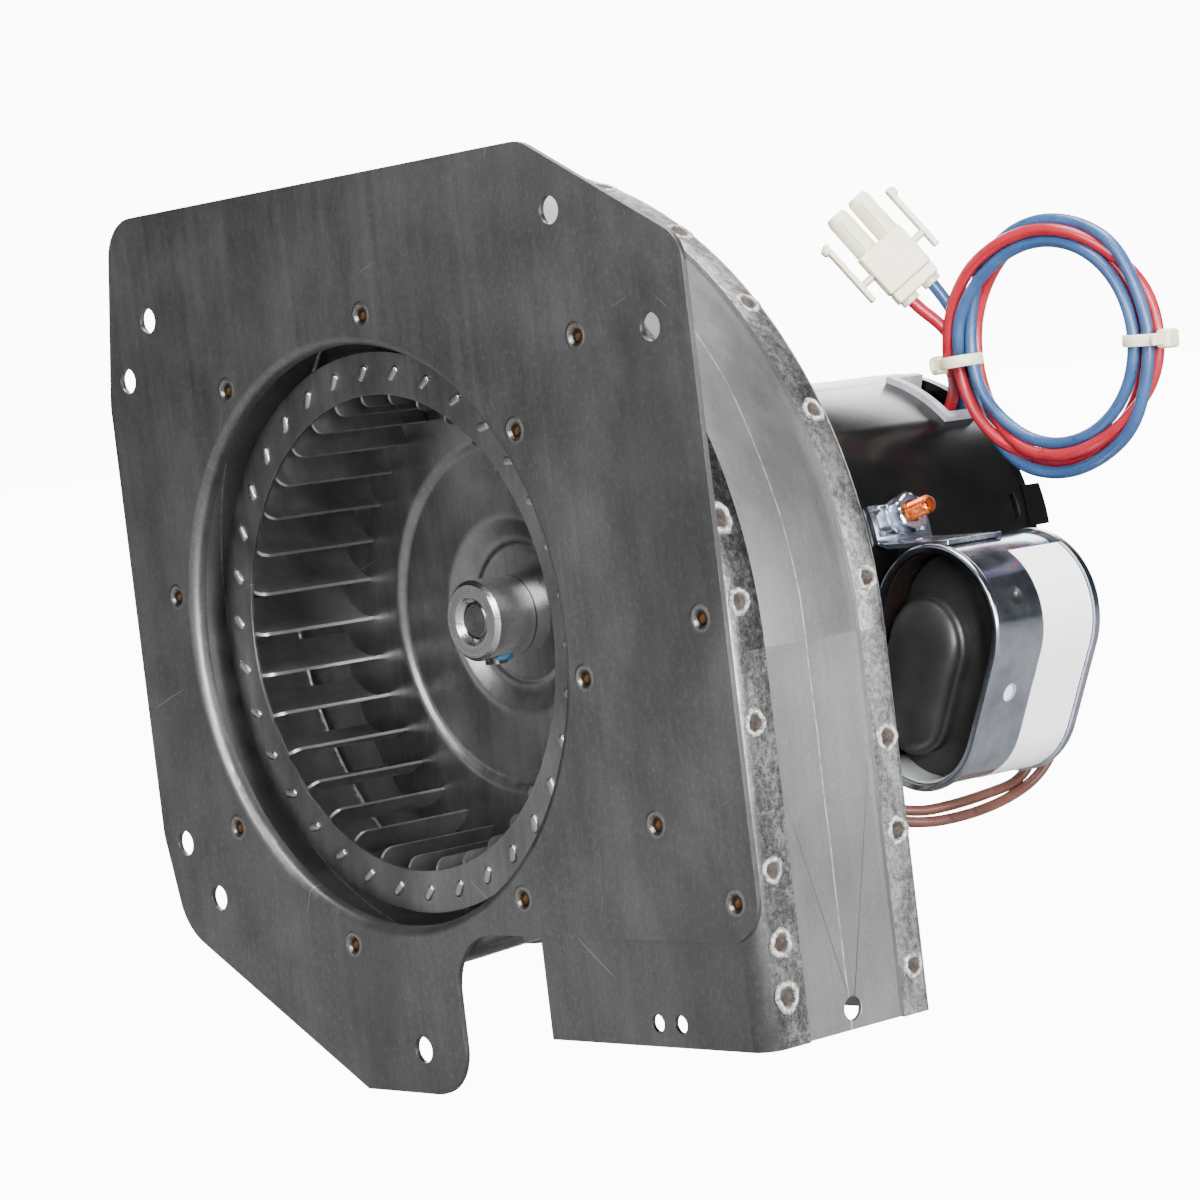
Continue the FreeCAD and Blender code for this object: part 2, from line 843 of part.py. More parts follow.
def ring(label, inner, outer, front, back):
    """A plain ring about the fan's axis."""
    return lathe(label, [(inner, front), (outer, front), (outer, back), (inner, back)])


def rings(label, inner, outer, spans):
    """Equal rings as one node of separate solids."""
    made = []
    for i, (front, back) in enumerate(spans):
        bar = cylinder(f"{label}_bar_{i}", outer, back - front, (0, front, 0))
        hole = cylinder(f"{label}_hole_{i}", inner, back - front + 2, (0, front - 1, 0))
        made.append(cut(f"{label}_{i}", bar, hole))
    return group(label, made)


def make_rotor():
    front, back = dim.core_front, dim.core_back
    ring("rotor_core", dim.shaft_radius, dim.rotor_radius, front, back)
    rings("rotor_end_rings", 12, dim.rotor_radius, [(94, front.value), (back.value, 142)])
    rings("thrust_washers", dim.shaft_radius, 7, [(77.1, 78.3), (149.7, 150.9)])
    rings("retaining_rings", dim.shaft_radius, 5.6, [(78.3, 79.3), (148.7, 149.7)])


# ---------------------------------------------------------------- motor housing

# Where the supply leads pass out between shell and rear cover, in degrees.
LEAD_GAP = (45.0, 73.0)

def make_front_end_shield():
    """The motor's front cover, with a bearing seat in its middle and a spigot in the shell."""
    seat = dim.bearing_radius
    inside = dim.shell_radius - dim.shell_wall
    body = lathe("front_end_shield", [
        (seat, 63.0),
        (seat + 4, 63.0),
        (seat + 4, dim.spacer_end),
        (39.5, dim.spacer_end),
        (dim.shell_radius, dim.spacer_end + 2.5),
        (dim.shell_radius, dim.shell_front),
        (inside, dim.shell_front),
        (inside, dim.shell_front + 4),
        (inside - 1.2, dim.shell_front + 4),
        (inside - 1.2, dim.spacer_end + 3),
        (seat + 4, dim.spacer_end + 3),
        (seat + 4, 78.0),
        (seat, 78.0),
    ])
    drill_bolt_holes(body, dim.spacer_end - 1)
    return body


def make_rear_end_shield():
    """The rear cover, closed over the shaft's end, with a locating ear on its rim."""
    seat = dim.bearing_radius
    inside = dim.shell_radius - dim.shell_wall
    rear = dim.shield_rear
    body = lathe("rear_end_shield", [
        (0, rear),
        (0, rear - 2.0),
        (seat, rear - 2.0),
        (seat, 150.0),
        (seat + 3.5, 150.0),
        (seat + 3.5, rear - 2.5),
        (inside - 1.2, rear - 2.5),
        (inside - 1.2, dim.shell_back - 4),
        (inside, dim.shell_back - 4),
        (inside, dim.shell_back),
        (dim.shell_radius, dim.shell_back),
        (dim.shell_radius, rear - 1.2),
        (dim.shell_radius - 1.2, rear),
    ])
    drill_bolt_holes(body, rear - 6)
    ear = facing_sketch(body, "rear_ear_section", dim.shell_back)
    low, high = 5, 18
    inner, outer = dim.shell_radius.value - 2.6, dim.shell_radius.value + 0.6
    add_path(ear, sector(inner, outer, low, high))
    add_pad(body, ear, 6.0, "rear_ear")
    notch = facing_sketch(body, "lead_gap_section", dim.shell_back - 5)
    add_path(notch, sector(inside.value - 4, dim.shell_radius.value + 1, *LEAD_GAP))
    add_pocket(body, notch, 5.0, "lead_gap")
    return body


def drill_bolt_holes(body, start):
    holes = facing_sketch(body, f"{body.Label}_bolt_holes", start)
    add_circles(holes, bolt_places(), dim.bolt_clearance)
    add_pocket(body, holes, 8.0, f"{body.Label}_bolt_holes_cut")


def make_motor_shell():
    inside = dim.shell_radius - dim.shell_wall
    body = ring("motor_shell", inside, dim.shell_radius, dim.shell_front, dim.shell_back)
    gap = facing_sketch(body, "lead_notch_section", 150.7)
    add_path(gap, sector(inside.value - 2, dim.shell_radius.value + 2, *LEAD_GAP))
    add_pocket(body, gap, 14.0, "lead_notch")
    top_slot = sketch_on(body, "XY_Plane", "top_slot_section", inside - 5)
    add_polygon(top_slot, [(-0.4, 153), (3.2, 153), (3.2, 159), (-0.4, 159)])
    add_pocket(body, top_slot, 10.0, "top_slot", reverse=True)
    window = sketch_on(body, "XY_Plane", "lead_window_section", -20.0)
    add_polygon(window, [(21.8, 80.8), (28.4, 80.8), (28.4, 90.4), (21.8, 90.4)])
    add_pocket(body, window, 20.0, "lead_window")
    side_slot = sketch_on(body, "YZ_Plane", "side_slot_section", inside - 5)
    add_polygon(side_slot, [(157.2, 6.0), (159.2, 6.0), (159.2, 11.5), (157.2, 11.5)])
    add_pocket(body, side_slot, 10.0, "side_slot", reverse=True)


def make_lead_bushing():
    """A plastic lip round the notch's front edge, under the leads."""
    inner, outer = dim.shell_radius.value - 3.0, dim.shell_radius.value + 1.4
    body = new_body("lead_bushing")
    section = facing_sketch(body, "bushing_section", 150.7)
    add_path(section, sector(inner, outer, *LEAD_GAP))
    add_pad(body, section, 10.5, "bushing_block")
    clear = facing_sketch(body, "bushing_gap_section", 152.7)
    add_path(clear, sector(inner - 1, outer + 1, LEAD_GAP[0] + 2.4, LEAD_GAP[1] - 2.4))
    add_pocket(body, clear, 9.0, "bushing_gap")


def make_stator():
    front, back = dim.core_front, dim.core_back
    body = ring("stator_core", dim.stator_bore, dim.stator_radius, front, back)
    slot_inner, slot_outer, half = 24.5, 32.0, 1.4
    slot = facing_sketch(body, "stator_slot_section", front)
    add_polygon(slot, [(slot_inner, -half), (slot_outer, -half), (slot_outer, half), (slot_inner, half)])
    first = add_pocket(body, slot, back - front, "stator_slot")
    add_ring_of(body, first, slot, dim.slot_count, "stator_slots")
    holes = facing_sketch(body, "stator_bolt_holes", front)
    add_circles(holes, bolt_places(), dim.bolt_clearance)
    add_pocket(body, holes, back - front, "stator_bolt_holes_cut")

    coil_end, play = 11.0, 0.1
    windings = ring("stator_windings", slot_inner, slot_outer, front - coil_end, front)
    bar = facing_sketch(windings, "winding_bar_section", front - 1)
    low, high, side = slot_inner + play, slot_outer - play, half - play
    add_polygon(bar, [(low, -side), (high, -side), (high, side), (low, side)])
    first = add_pad(windings, bar, back - front + 2, "winding_bar")
    add_ring_of(windings, first, bar, dim.slot_count, "winding_bars")
    far_end = [
        (slot_inner, back), (slot_outer, back),
        (slot_outer, back + coil_end), (slot_inner, back + coil_end),
    ]
    add_turn(windings, far_end, "winding_far_end")


def make_bearings():
    bore = dim.shaft_radius + 0.03
    for label, front, back in (("front_bearing", 64.0, 77.0), ("rear_bearing", 151.0, 161.0)):
        ring(label, bore, dim.bearing_radius, front, back)


def make_through_bolts():
    bolts, nuts, spacers = [], [], []
    rear = dim.shield_rear
    nut_front = dim.back_face - dim.nut_height
    for i, (x, z) in enumerate(bolt_places()):
        shank = cylinder(f"bolt_shank_{i}", dim.bolt_radius, rear - nut_front, (x, nut_front.value, z))
        head = hexagon(f"bolt_head_{i}", 4.9, 3.0, (x, rear.value, z))
        bolts.append(fuse(f"bolt_{i}", [shank, head]))
        blank = hexagon(f"nut_blank_{i}", dim.nut_corner, dim.nut_height, (x, nut_front.value, z))
        thread = cylinder(f"nut_thread_{i}", dim.bolt_radius, 4, (x, nut_front.value - 0.5, z))
        nuts.append(cut(f"nut_{i}", blank, thread))
        start = dim.back_face + dim.sheet
        length = dim.spacer_end - start
        tube = cylinder(f"spacer_tube_{i}", dim.spacer_radius, length, (x, start.value, z))
        hole = cylinder(f"spacer_hole_{i}", dim.bolt_clearance, 24, (x, start.value - 1, z))
        spacers.append(cut(f"spacer_{i}", tube, hole))
    group("through_bolts", bolts)
    group("through_bolt_nuts", nuts)
    group("motor_spacers", spacers)


# ---------------------------------------------------------------- capacitor and bracket

def stadium(radius, half_flat=None, shift=(0.0, 0.0)):
    """The capacitor's oval section: two half circles on a tilted long axis."""
    half_flat = dim.cap_half_flat.value if half_flat is None else half_flat
    cx, cz = dim.cap_x.value + shift[0], dim.cap_z.value + shift[1]
    along = 90 - dim.cap_tilt.value
    top = around(half_flat, along, (cx, cz))
    low = around(half_flat, along + 180, (cx, cz))
    edges = [
        arc_about(top, radius, along - 90, along + 90),
        arc_about(low, radius, along + 90, along + 270),
    ]
    edges.append(line(around(radius, along + 90, top), around(radius, along + 90, low)))
    edges.append(line(around(radius, along - 90, low), around(radius, along - 90, top)))
    return edges


def oval_block(body, radius, front, back, name):
    section = facing_sketch(body, f"{name}_section", front)
    add_path(section, stadium(radius))
    return add_pad(body, section, as_size(back) - front, name)


def oval_hole(body, radius, front, back, name):
    section = facing_sketch(body, f"{name}_section", front)
    add_path(section, stadium(radius))
    return add_pocket(body, section, as_size(back) - front, name)


def soften(body, radius, name, depths):
    """Fillets every edge that lies in one of the planes at the given depths."""
    doc.recompute()
    base = body.Tip
    wanted = [
        f"Edge{number}"
        for number, edge in enumerate(base.Shape.Edges, start=1)
        if any(
            all(abs(vertex.Y - depth) < 0.01 for vertex in edge.Vertexes) for depth in depths
        )
    ]
    fillet = body.newObject("PartDesign::Fillet", name)
    fillet.Base = (base, wanted)
    fillet.Radius = radius
    body.Tip = fillet
    doc.recompute()


def make_capacitor_shield():
    body = new_body("capacitor_shield")
    front, back = dim.cap_front, dim.cap_back
    bead = dim.cap_radius.value + dim.bead_proud.value
    width = dim.bead_width
    oval_block(body, bead, front, front + width, "shield_front_bead")
    soften(body, 0.9, "front_bead_round", [front.value, (front + width).value])
    oval_block(body, dim.cap_radius.value, front + width * 0.5, back - width * 0.5, "shield_wall")
    oval_block(body, bead, back - width, back, "shield_back_bead")
    soften(body, 0.9, "back_bead_round", [back.value])
    inner = dim.cap_radius.value - dim.cap_wall.value
    oval_hole(body, inner, front - 1, back + 1, "shield_inside")
    side = sketch_on(body, "YZ_Plane", "shield_side_hole", 66)
    add_circles(side, [(115.8, -29.2)], Size(1.9))
    add_pocket(body, side, 14.0, "shield_side_hole_cut", reverse=True)


def make_capacitor():
    wall = (dim.cap_radius - dim.cap_wall).value
    liner = new_body("capacitor_liner")
    oval_block(liner, wall - 0.15, dim.cap_front + 1.5, dim.cap_back - 1, "liner_wall")
    oval_hole(liner, wall - 0.65, dim.cap_front + 0.5, dim.cap_back, "liner_inside")
    can = new_body("capacitor_can")
    oval_block(can, wall - 0.8, dim.cap_front + 11, dim.cap_back - 0.5, "can_block")
    soften(can, 1.5, "can_rims", [dim.cap_back.value - 0.5])
    boot = new_body("capacitor_boot")
    oval_block(boot, wall - 0.8, dim.cap_front + 7, dim.cap_front + 11, "boot_skirt")
    nose = dim.cap_front + 0.5
    dome = facing_sketch(boot, "boot_dome_section", nose)
    add_path(dome, stadium(10.4, 8.0, shift=(-6.2, -1.9)))
    add_pad(boot, dome, 7.0, "boot_dome")
    soften(boot, 4.5, "boot_dome_round", [nose.value])


def make_capacitor_label():
    """A blank adhesive label round the outer side of the shield."""
    body = new_body("capacitor_label")
    front, back = 122.8, (dim.cap_back - dim.bead_width).value - 0.2
    outer = dim.cap_radius.value + 0.12
    oval_block(body, outer, front, back, "label_block")
    oval_hole(body, dim.cap_radius.value, Size(front - 1), Size(back + 1), "label_inside")
    trim = facing_sketch(body, "label_trim_section", front - 1)
    along = 90 - dim.cap_tilt.value
    centre = (dim.cap_x.value, dim.cap_z.value)
    reach = 40.0
    base = around(2.0, along - 90, centre)
    corners = [
        around(reach, along, base),
        around(reach, along + 180, base),
        around(reach, along + 180, around(reach, along + 90, base)),
        around(reach, along, around(reach, along + 90, base)),
    ]
    add_path(trim, [line(corners[i], corners[(i + 1) % 4]) for i in range(4)])
    add_pocket(body, trim, back - front + 2, "label_trim")


def make_capacitor_bracket():
    """A bent strap from the motor shell out to the top of the capacitor's shield."""
    wall = dim.bracket_wall.value
    shell = dim.shell_radius.value
    low, high = 7.0, 18.5
    along = 90 - dim.cap_tilt.value
    top_x, top_z = around(dim.cap_half_flat.value, along, (dim.cap_x.value, dim.cap_z.value))
    rest = top_z + dim.cap_radius.value
    tip = top_x + 3.0
    body = new_body("capacitor_bracket")
    section = facing_sketch(body, "bracket_section", dim.bracket_front)
    inner_foot = around(shell, low)
    outer_foot = around(shell + wall, low)
    elbow_out = (inner_foot[0] + 4.4, rest + wall)
    elbow_in = (inner_foot[0] + 3.9, rest)
    add_path(section, [
        arc_about((0, 0), shell, low, high),
        line(around(shell, high), around(shell + wall, high)),
        arc_about((0, 0), shell + wall, low, high),
        line(outer_foot, elbow_out),
        line(elbow_out, (tip, rest + wall)),
        line((tip, rest + wall), (tip, rest)),
        line((tip, rest), elbow_in),
        line(elbow_in, inner_foot),
    ])
    add_pad(body, section, dim.bracket_width, "bracket_strap")
    middle = dim.bracket_front.value + dim.bracket_width.value / 2
    slot = sketch_on(body, "XY_Plane", "bracket_slot_section", rest - 6)
    half, end = 1.4, 2.4
    x = elbow_out[0] - 0.6
    add_path(slot, [
        line((x + half, middle - end), (x + half, middle + end)),
        line((x - half, middle - end), (x - half, middle + end)),
        arc_about((x, middle + end), half, 0, 180),
        arc_about((x, middle - end), half, 180, 360),
    ])
    add_pocket(body, slot, 14.0, "bracket_slot", reverse=True)
    hole = sketch_on(body, "YZ_Plane", "bracket_stud_hole", 36)
    add_circles(hole, [(middle, shell * math.sin(math.radians(dim.stud_angle.value)))], Size(2.6))
    add_pocket(body, hole, 10.0, "bracket_stud_hole_cut", reverse=True)


def make_bracket_stud():
    angle = dim.stud_angle.value
    middle = dim.bracket_front.value + dim.bracket_width.value / 2
    x, z = around(1.0, angle)
    direction = (x, 0, z)

    def at(radius):
        return (x * radius, middle, z * radius)

    shell = dim.shell_radius.value
    washer = shell + dim.bracket_wall.value + 0.1
    stud = cylinder("bracket_stud", dim.stud_radius, dim.stud_length, at(shell), direction)
    keep(stud, "bracket_stud")
    disc = cylinder("washer_disc", 4.3, 0.9, at(washer), direction)
    eye = cylinder("washer_eye", 2.3, 3, at(washer - 1), direction)
    keep(cut("bracket_washer", disc, eye), "bracket_washer")
    blank = hexagon("nut_blank", 4.9, 3.4, at(washer + 0.9), direction)
    thread = cylinder("nut_thread", dim.stud_radius, 6, at(washer), direction)
    keep(cut("bracket_nut", blank, thread), "bracket_nut")


# ---------------------------------------------------------------- wiring

def cord_wire(label, points):
    """Straight runs joined by tangent arcs, each as large as its two runs allow."""
    points = [Vector(*point) for point in points]
    edges, radii = [], []
    last = points[0]
    for before, here, after in zip(points, points[1:], points[2:]):
        back, ahead = before - here, after - here
        turn = math.pi - back.getAngle(ahead)
        radius = 0.45 * min(back.Length, ahead.Length) / math.tan(turn / 2)
        setback = radius * math.tan(turn / 2)
        start = here + back.normalize() * setback
        end = here + ahead.normalize() * setback
        bisector = (back + ahead).normalize()
        middle = here + bisector * (radius / math.cos(turn / 2) - radius)
        edges += [Part.LineSegment(last, start).toShape(), Part.Arc(start, middle, end).toShape()]
        radii.append(round(radius, 1))
        last = end
    edges.append(Part.LineSegment(last, points[-1]).toShape())
    print(f"{label}: arc radii {radii}")
    return Part.Wire(edges)


def cord_tube(label, points, radius):
    wire = cord_wire(label, points)
    start = Vector(*points[0])
    along = (Vector(*points[1]) - start).normalize()
    disc = Part.Wire([Part.makeCircle(radius.value, start, along)])
    tube = doc.addObject("Part::Feature", label)
    tube.Shape = wire.makePipeShell([disc], True, False)
    expected = math.pi * radius.value ** 2 * wire.Length
    if abs(tube.Shape.Volume / expected - 1) > 0.01:
        raise RuntimeError(f"{label} has {tube.Shape.Volume:.0f} mm3, not {expected:.0f}")
    keep(tube, label)


def coil_point(degrees):
    """A point on the coil's circle, counted from its side nearest the motor towards the top."""
    radius = dim.coil_radius.value
    turn = math.radians(dim.coil_turn.value)
    out = Vector(math.cos(turn), math.sin(turn), 0)
    angle = math.radians(degrees)
    return COIL_CENTRE + out * (-radius * math.cos(angle)) + Vector(0, 0, radius * math.sin(angle))


RED_EXIT = [(20.5, 156.5, 25.5), (25.5, 156.6, 31.5), (31.5, 153.8, 37.6), (38.9, 148.4, 40.9)]
BLUE_EXIT = [(21.5, 160.0, 26.5), (25.5, 160.0, 31.5), (32.5, 156.4, 36.0), (40.6, 149.3, 38.4)]
RED_END = [(39.4, 146.6, 44.9), (37.3, 144.6, 50.9), (33.5, 141.4, 56.7), (30.2, 138.2, 63.2)]
BLUE_END = [(41.6, 149.4, 47.4), (39.6, 148.4, 53.6), (36.6, 145.3, 60.4), (33.4, 142.1, 67.0)]
CAP_LEADS = {
    "capacitor_lead_1": [
        (51.0, 141.3, -31.0), (50.9, 144.9, -32.6), (50.6, 147.4, -36.8), (50.2, 147.8, -42.8),
        (49.6, 145.4, -48.2), (49.2, 140.0, -52.4), (49.2, 130.5, -53.4), (49.2, 119.0, -54.2),
        (47.2, 108.4, -54.4), (42.2, 98.6, -50.6), (35.0, 90.5, -43.5), (27.6, 87.2, -36.2),
        (20.5, 86.0, -27.6),
    ],
    "capacitor_lead_2": [
        (54.2, 141.3, -33.0), (54.0, 145.1, -34.1), (53.6, 149.0, -38.6), (53.0, 150.0, -44.6),
        (51.8, 147.8, -49.4), (50.8, 142.0, -53.4), (50.6, 131.5, -56.0), (50.6, 119.0, -57.0),
        (49.4, 107.0, -56.6), (45.0, 95.5, -53.0), (37.0, 87.5, -46.2), (28.4, 83.4, -37.4),
        (21.3, 82.2, -28.8),
    ],
}


def make_wiring():
    cord_tube("red_lead_exit", RED_EXIT, dim.lead_radius)
    cord_tube("blue_lead_exit", BLUE_EXIT, dim.lead_radius)
    cord_tube("red_lead_end", RED_END, dim.lead_radius)
    cord_tube("blue_lead_end", BLUE_END, dim.lead_radius)
    for label, points in CAP_LEADS.items():
        cord_tube(label, points, dim.cap_lead_radius)
    coil = doc.addObject("Part::Torus", "lead_coil")
    coil.setExpression("Radius1", dim.coil_radius.text)
    coil.setExpression("Radius2", dim.coil_bundle.text)
    turn = math.radians(dim.coil_turn.value)
    coil.Placement = toward(COIL_CENTRE, (math.sin(turn), -math.cos(turn), 0))
    keep(coil, "lead_coil")


def make_cable_tie(label, degrees):
    """A nylon band round the coil's bundle, with its square head on the outside."""
    width = dim.tie_width.value
    centre = coil_point(degrees)
    ahead = (coil_point(degrees + 1) - coil_point(degrees - 1)).normalize()
    outward = (centre - COIL_CENTRE).normalize()
    start = centre - ahead * (width / 2)
    band_radius = dim.coil_bundle + dim.tie_wall
    band = cylinder(f"{label}_band", band_radius, dim.tie_width, start, ahead)
    hole = cylinder(f"{label}_hole", dim.coil_bundle, width + 2, start - ahead, ahead)
    long, broad, deep = 4.6, 4.4, 3.6
    head = box(f"{label}_head", (long, broad, deep), (-long / 2, -broad / 2, 0))
    rotation = FreeCAD.Rotation(ahead, ahead.cross(outward) * -1, outward, "ZXY")
    foot = centre + outward * (dim.coil_bundle.value + 0.3)
    set_in(FreeCAD.Placement(foot, rotation), [head])
    solid = fuse(f"{label}_solid", [band, head])
    keep(cut(label, solid, hole), label)


CONNECTOR_BASE = Vector(34.1, 142.4, 60.6)
CONNECTOR_AXIS = Vector(-0.412, -0.407, 0.815)
CONNECTOR_WIDTH = Vector(0.483, 0.598, 0.639)
BLOCK = (12.0, 7.6, 14.0)
SILO_PITCH = 6.35
SILO_LENGTH = 25.0
LATCH_REACH = 9.6


def connector_frame():
    along = Vector(CONNECTOR_AXIS).normalize()
    thick = CONNECTOR_WIDTH.cross(along).normalize()
    wide = along.cross(thick)
    return FreeCAD.Placement(CONNECTOR_BASE, FreeCAD.Rotation(wide, thick, along, "ZXY"))


def make_connector():
    """A two-circuit nylon plug: a block with two silos and two flexible side latches."""
    wide, thick, long = BLOCK
    up = (0, 0, 1)
    solids = [box("plug_block", BLOCK, (-wide / 2, -thick / 2, 0))]
    bores, pins = [], []
    for i, side in enumerate((-1, 1)):
        x = side * SILO_PITCH / 2
        solids.append(cylinder(f"plug_silo_{i}", 2.8, SILO_LENGTH, (x, 0, 0), up))
        bores.append(cylinder(f"plug_bore_{i}", 1.9, SILO_LENGTH + 2, (x, 0, -1), up))
        solids.append(box(f"plug_latch_{i}", (1.2, 4.8, 17.0), (side * LATCH_REACH - 0.6, -2.4, 4.5)))
        web = min(side * LATCH_REACH, side * wide / 2) - 0.1
        solids.append(box(f"plug_web_{i}", (LATCH_REACH - wide / 2 + 0.2, 2.4, 1.6), (web, -1.2, 8)))
        barrel = cylinder(f"pin_barrel_{i}", 1.6, 9.0, (x, 0, 6.0), up)
        blade = cylinder(f"pin_blade_{i}", 1.05, 8.0, (x, 0, 14.5), up)
        pins.append(fuse(f"connector_pin_{i}", set_in(connector_frame(), [barrel, blade])))
    whole = fuse("plug_solid", set_in(connector_frame(), solids))
    cavity = fuse("plug_bores", set_in(connector_frame(), bores))
    keep(cut("connector_housing", whole, cavity), "connector_housing")
    group("connector_terminals", pins)


# ---------------------------------------------------------------- build, check and write

def build_all():
    make_mounting_plate()
    make_scroll_front_panel()
    make_scroll_wrapper()
    make_scroll_back_panel()
    make_wheel_front_ring()
    make_wheel_blades()
    make_wheel_back_disc()
    make_wheel_hub()
    make_hub_set_screw()
    make_motor_shaft()
    make_cooling_fan()
    make_rotor()
    make_front_end_shield()
    make_rear_end_shield()
    make_motor_shell()
    make_lead_bushing()
    make_stator()
    make_bearings()
    make_through_bolts()
    make_capacitor_shield()
    make_capacitor()
    make_capacitor_label()
    make_capacitor_bracket()
    make_bracket_stud()
    make_wiring()
    make_cable_tie("cable_tie_left", -3)
    make_cable_tie("cable_tie_right", 183)
    make_connector()
    doc.recompute()


def check_all():
    for item in doc.Objects:
        if "Invalid" in item.State or "Error" in item.State:
            raise RuntimeError(f"{item.Label} failed: {item.State}")
    for item in nodes:
        shape = item.Shape
        if shape.isNull() or not shape.isValid() or not shape.Solids:
            raise RuntimeError(f"{item.Label} has no valid solid")
        print(f"{item.Label}: {len(shape.Solids)} solid(s), {shape.Volume:.0f} mm3")


build_all()
check_all()
os.makedirs("parts", exist_ok=True)
for item in nodes:
    item.Shape.exportStep(f"parts/{item.Label}.step")
print(len(nodes), "pieces written")
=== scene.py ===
"""Combustion fan: the visual model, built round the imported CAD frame.  Metres, +Z up."""
import math

import bmesh
import bpy
from mathutils import Matrix, Vector


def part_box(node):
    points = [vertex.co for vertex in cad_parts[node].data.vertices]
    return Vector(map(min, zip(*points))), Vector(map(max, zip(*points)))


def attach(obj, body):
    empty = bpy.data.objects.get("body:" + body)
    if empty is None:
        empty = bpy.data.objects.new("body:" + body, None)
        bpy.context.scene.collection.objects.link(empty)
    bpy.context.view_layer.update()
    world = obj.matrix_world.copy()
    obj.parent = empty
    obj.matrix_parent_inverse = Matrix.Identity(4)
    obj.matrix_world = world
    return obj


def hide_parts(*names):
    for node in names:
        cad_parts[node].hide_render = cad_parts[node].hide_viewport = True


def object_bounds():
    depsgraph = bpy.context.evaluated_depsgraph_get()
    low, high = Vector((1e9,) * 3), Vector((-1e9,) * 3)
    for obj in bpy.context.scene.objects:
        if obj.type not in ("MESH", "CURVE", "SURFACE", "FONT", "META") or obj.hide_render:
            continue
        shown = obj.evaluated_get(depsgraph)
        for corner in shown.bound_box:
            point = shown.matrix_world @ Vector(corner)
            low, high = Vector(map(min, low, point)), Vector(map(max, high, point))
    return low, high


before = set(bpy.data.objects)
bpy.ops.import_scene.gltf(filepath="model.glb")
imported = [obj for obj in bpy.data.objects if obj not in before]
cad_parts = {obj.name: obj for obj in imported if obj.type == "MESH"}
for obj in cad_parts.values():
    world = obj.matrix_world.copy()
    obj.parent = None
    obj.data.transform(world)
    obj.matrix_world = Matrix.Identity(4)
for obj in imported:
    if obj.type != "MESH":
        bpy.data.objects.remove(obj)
cad_box = [list(corner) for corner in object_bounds()]
MM = 0.001
TURN = 2 * math.pi


# ---------------------------------------------------------------- small helpers

def polar(radius, degrees):
    """A point in the XZ plane: 0 degrees is +X and 90 is +Z."""
    angle = math.radians(degrees)
    return Vector((radius * math.cos(angle), 0, radius * math.sin(angle)))


def middle_of(node):
    """The middle of a CAD node's box, in millimetres."""
    low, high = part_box(node)
    return (low + high) / 2 / MM


def add_object(name, data):
    made = bpy.data.objects.new(name, data)
    bpy.context.scene.collection.objects.link(made)
    return made


def set_stops(node, stops):
    """Gives a colour ramp node its stops, each a position and a colour."""
    points = node.color_ramp.elements
    while len(points) < len(stops):
        points.new(1.0)
    for point, (position, colour) in zip(points, stops):
        point.position = position
        point.color = colour


# ---------------------------------------------------------------- camera

# the photograph's viewpoint
LENS = 116.56
SENSOR_WIDTH = 36.0
CAMERA_PLACE = (0.64491, -0.50082, 0.04313)
CAMERA_RIGHT = (0.6598, 0.7421, -0.1182)
CAMERA_BACK = (0.7504, -0.6591, 0.0501)

def make_camera():
    data = bpy.data.cameras.new("camera")
    data.sensor_width = SENSOR_WIDTH
    data.lens = LENS
    data.clip_start = 0.05
    data.clip_end = 100.0
    camera = add_object("camera", data)
    right = Vector(CAMERA_RIGHT).normalized()
    back = Vector(CAMERA_BACK).normalized()
    up = back.cross(right).normalized()
    right = up.cross(back)
    turned = Matrix((right, up, back)).transposed().to_4x4()
    camera.matrix_world = Matrix.Translation(CAMERA_PLACE) @ turned
    bpy.context.scene.camera = camera


# ---------------------------------------------------------------- materials

def srgb(red, green, blue):
    """A linear colour from the 0 to 255 numbers of a colour as it is seen."""
    def linear(value):
        value = value / 255
        return value / 12.92 if value <= 0.04045 else ((value + 0.055) / 1.055) ** 2.4
    return (linear(red), linear(green), linear(blue), 1.0)


def grey(level):
    return srgb(level, level, level)


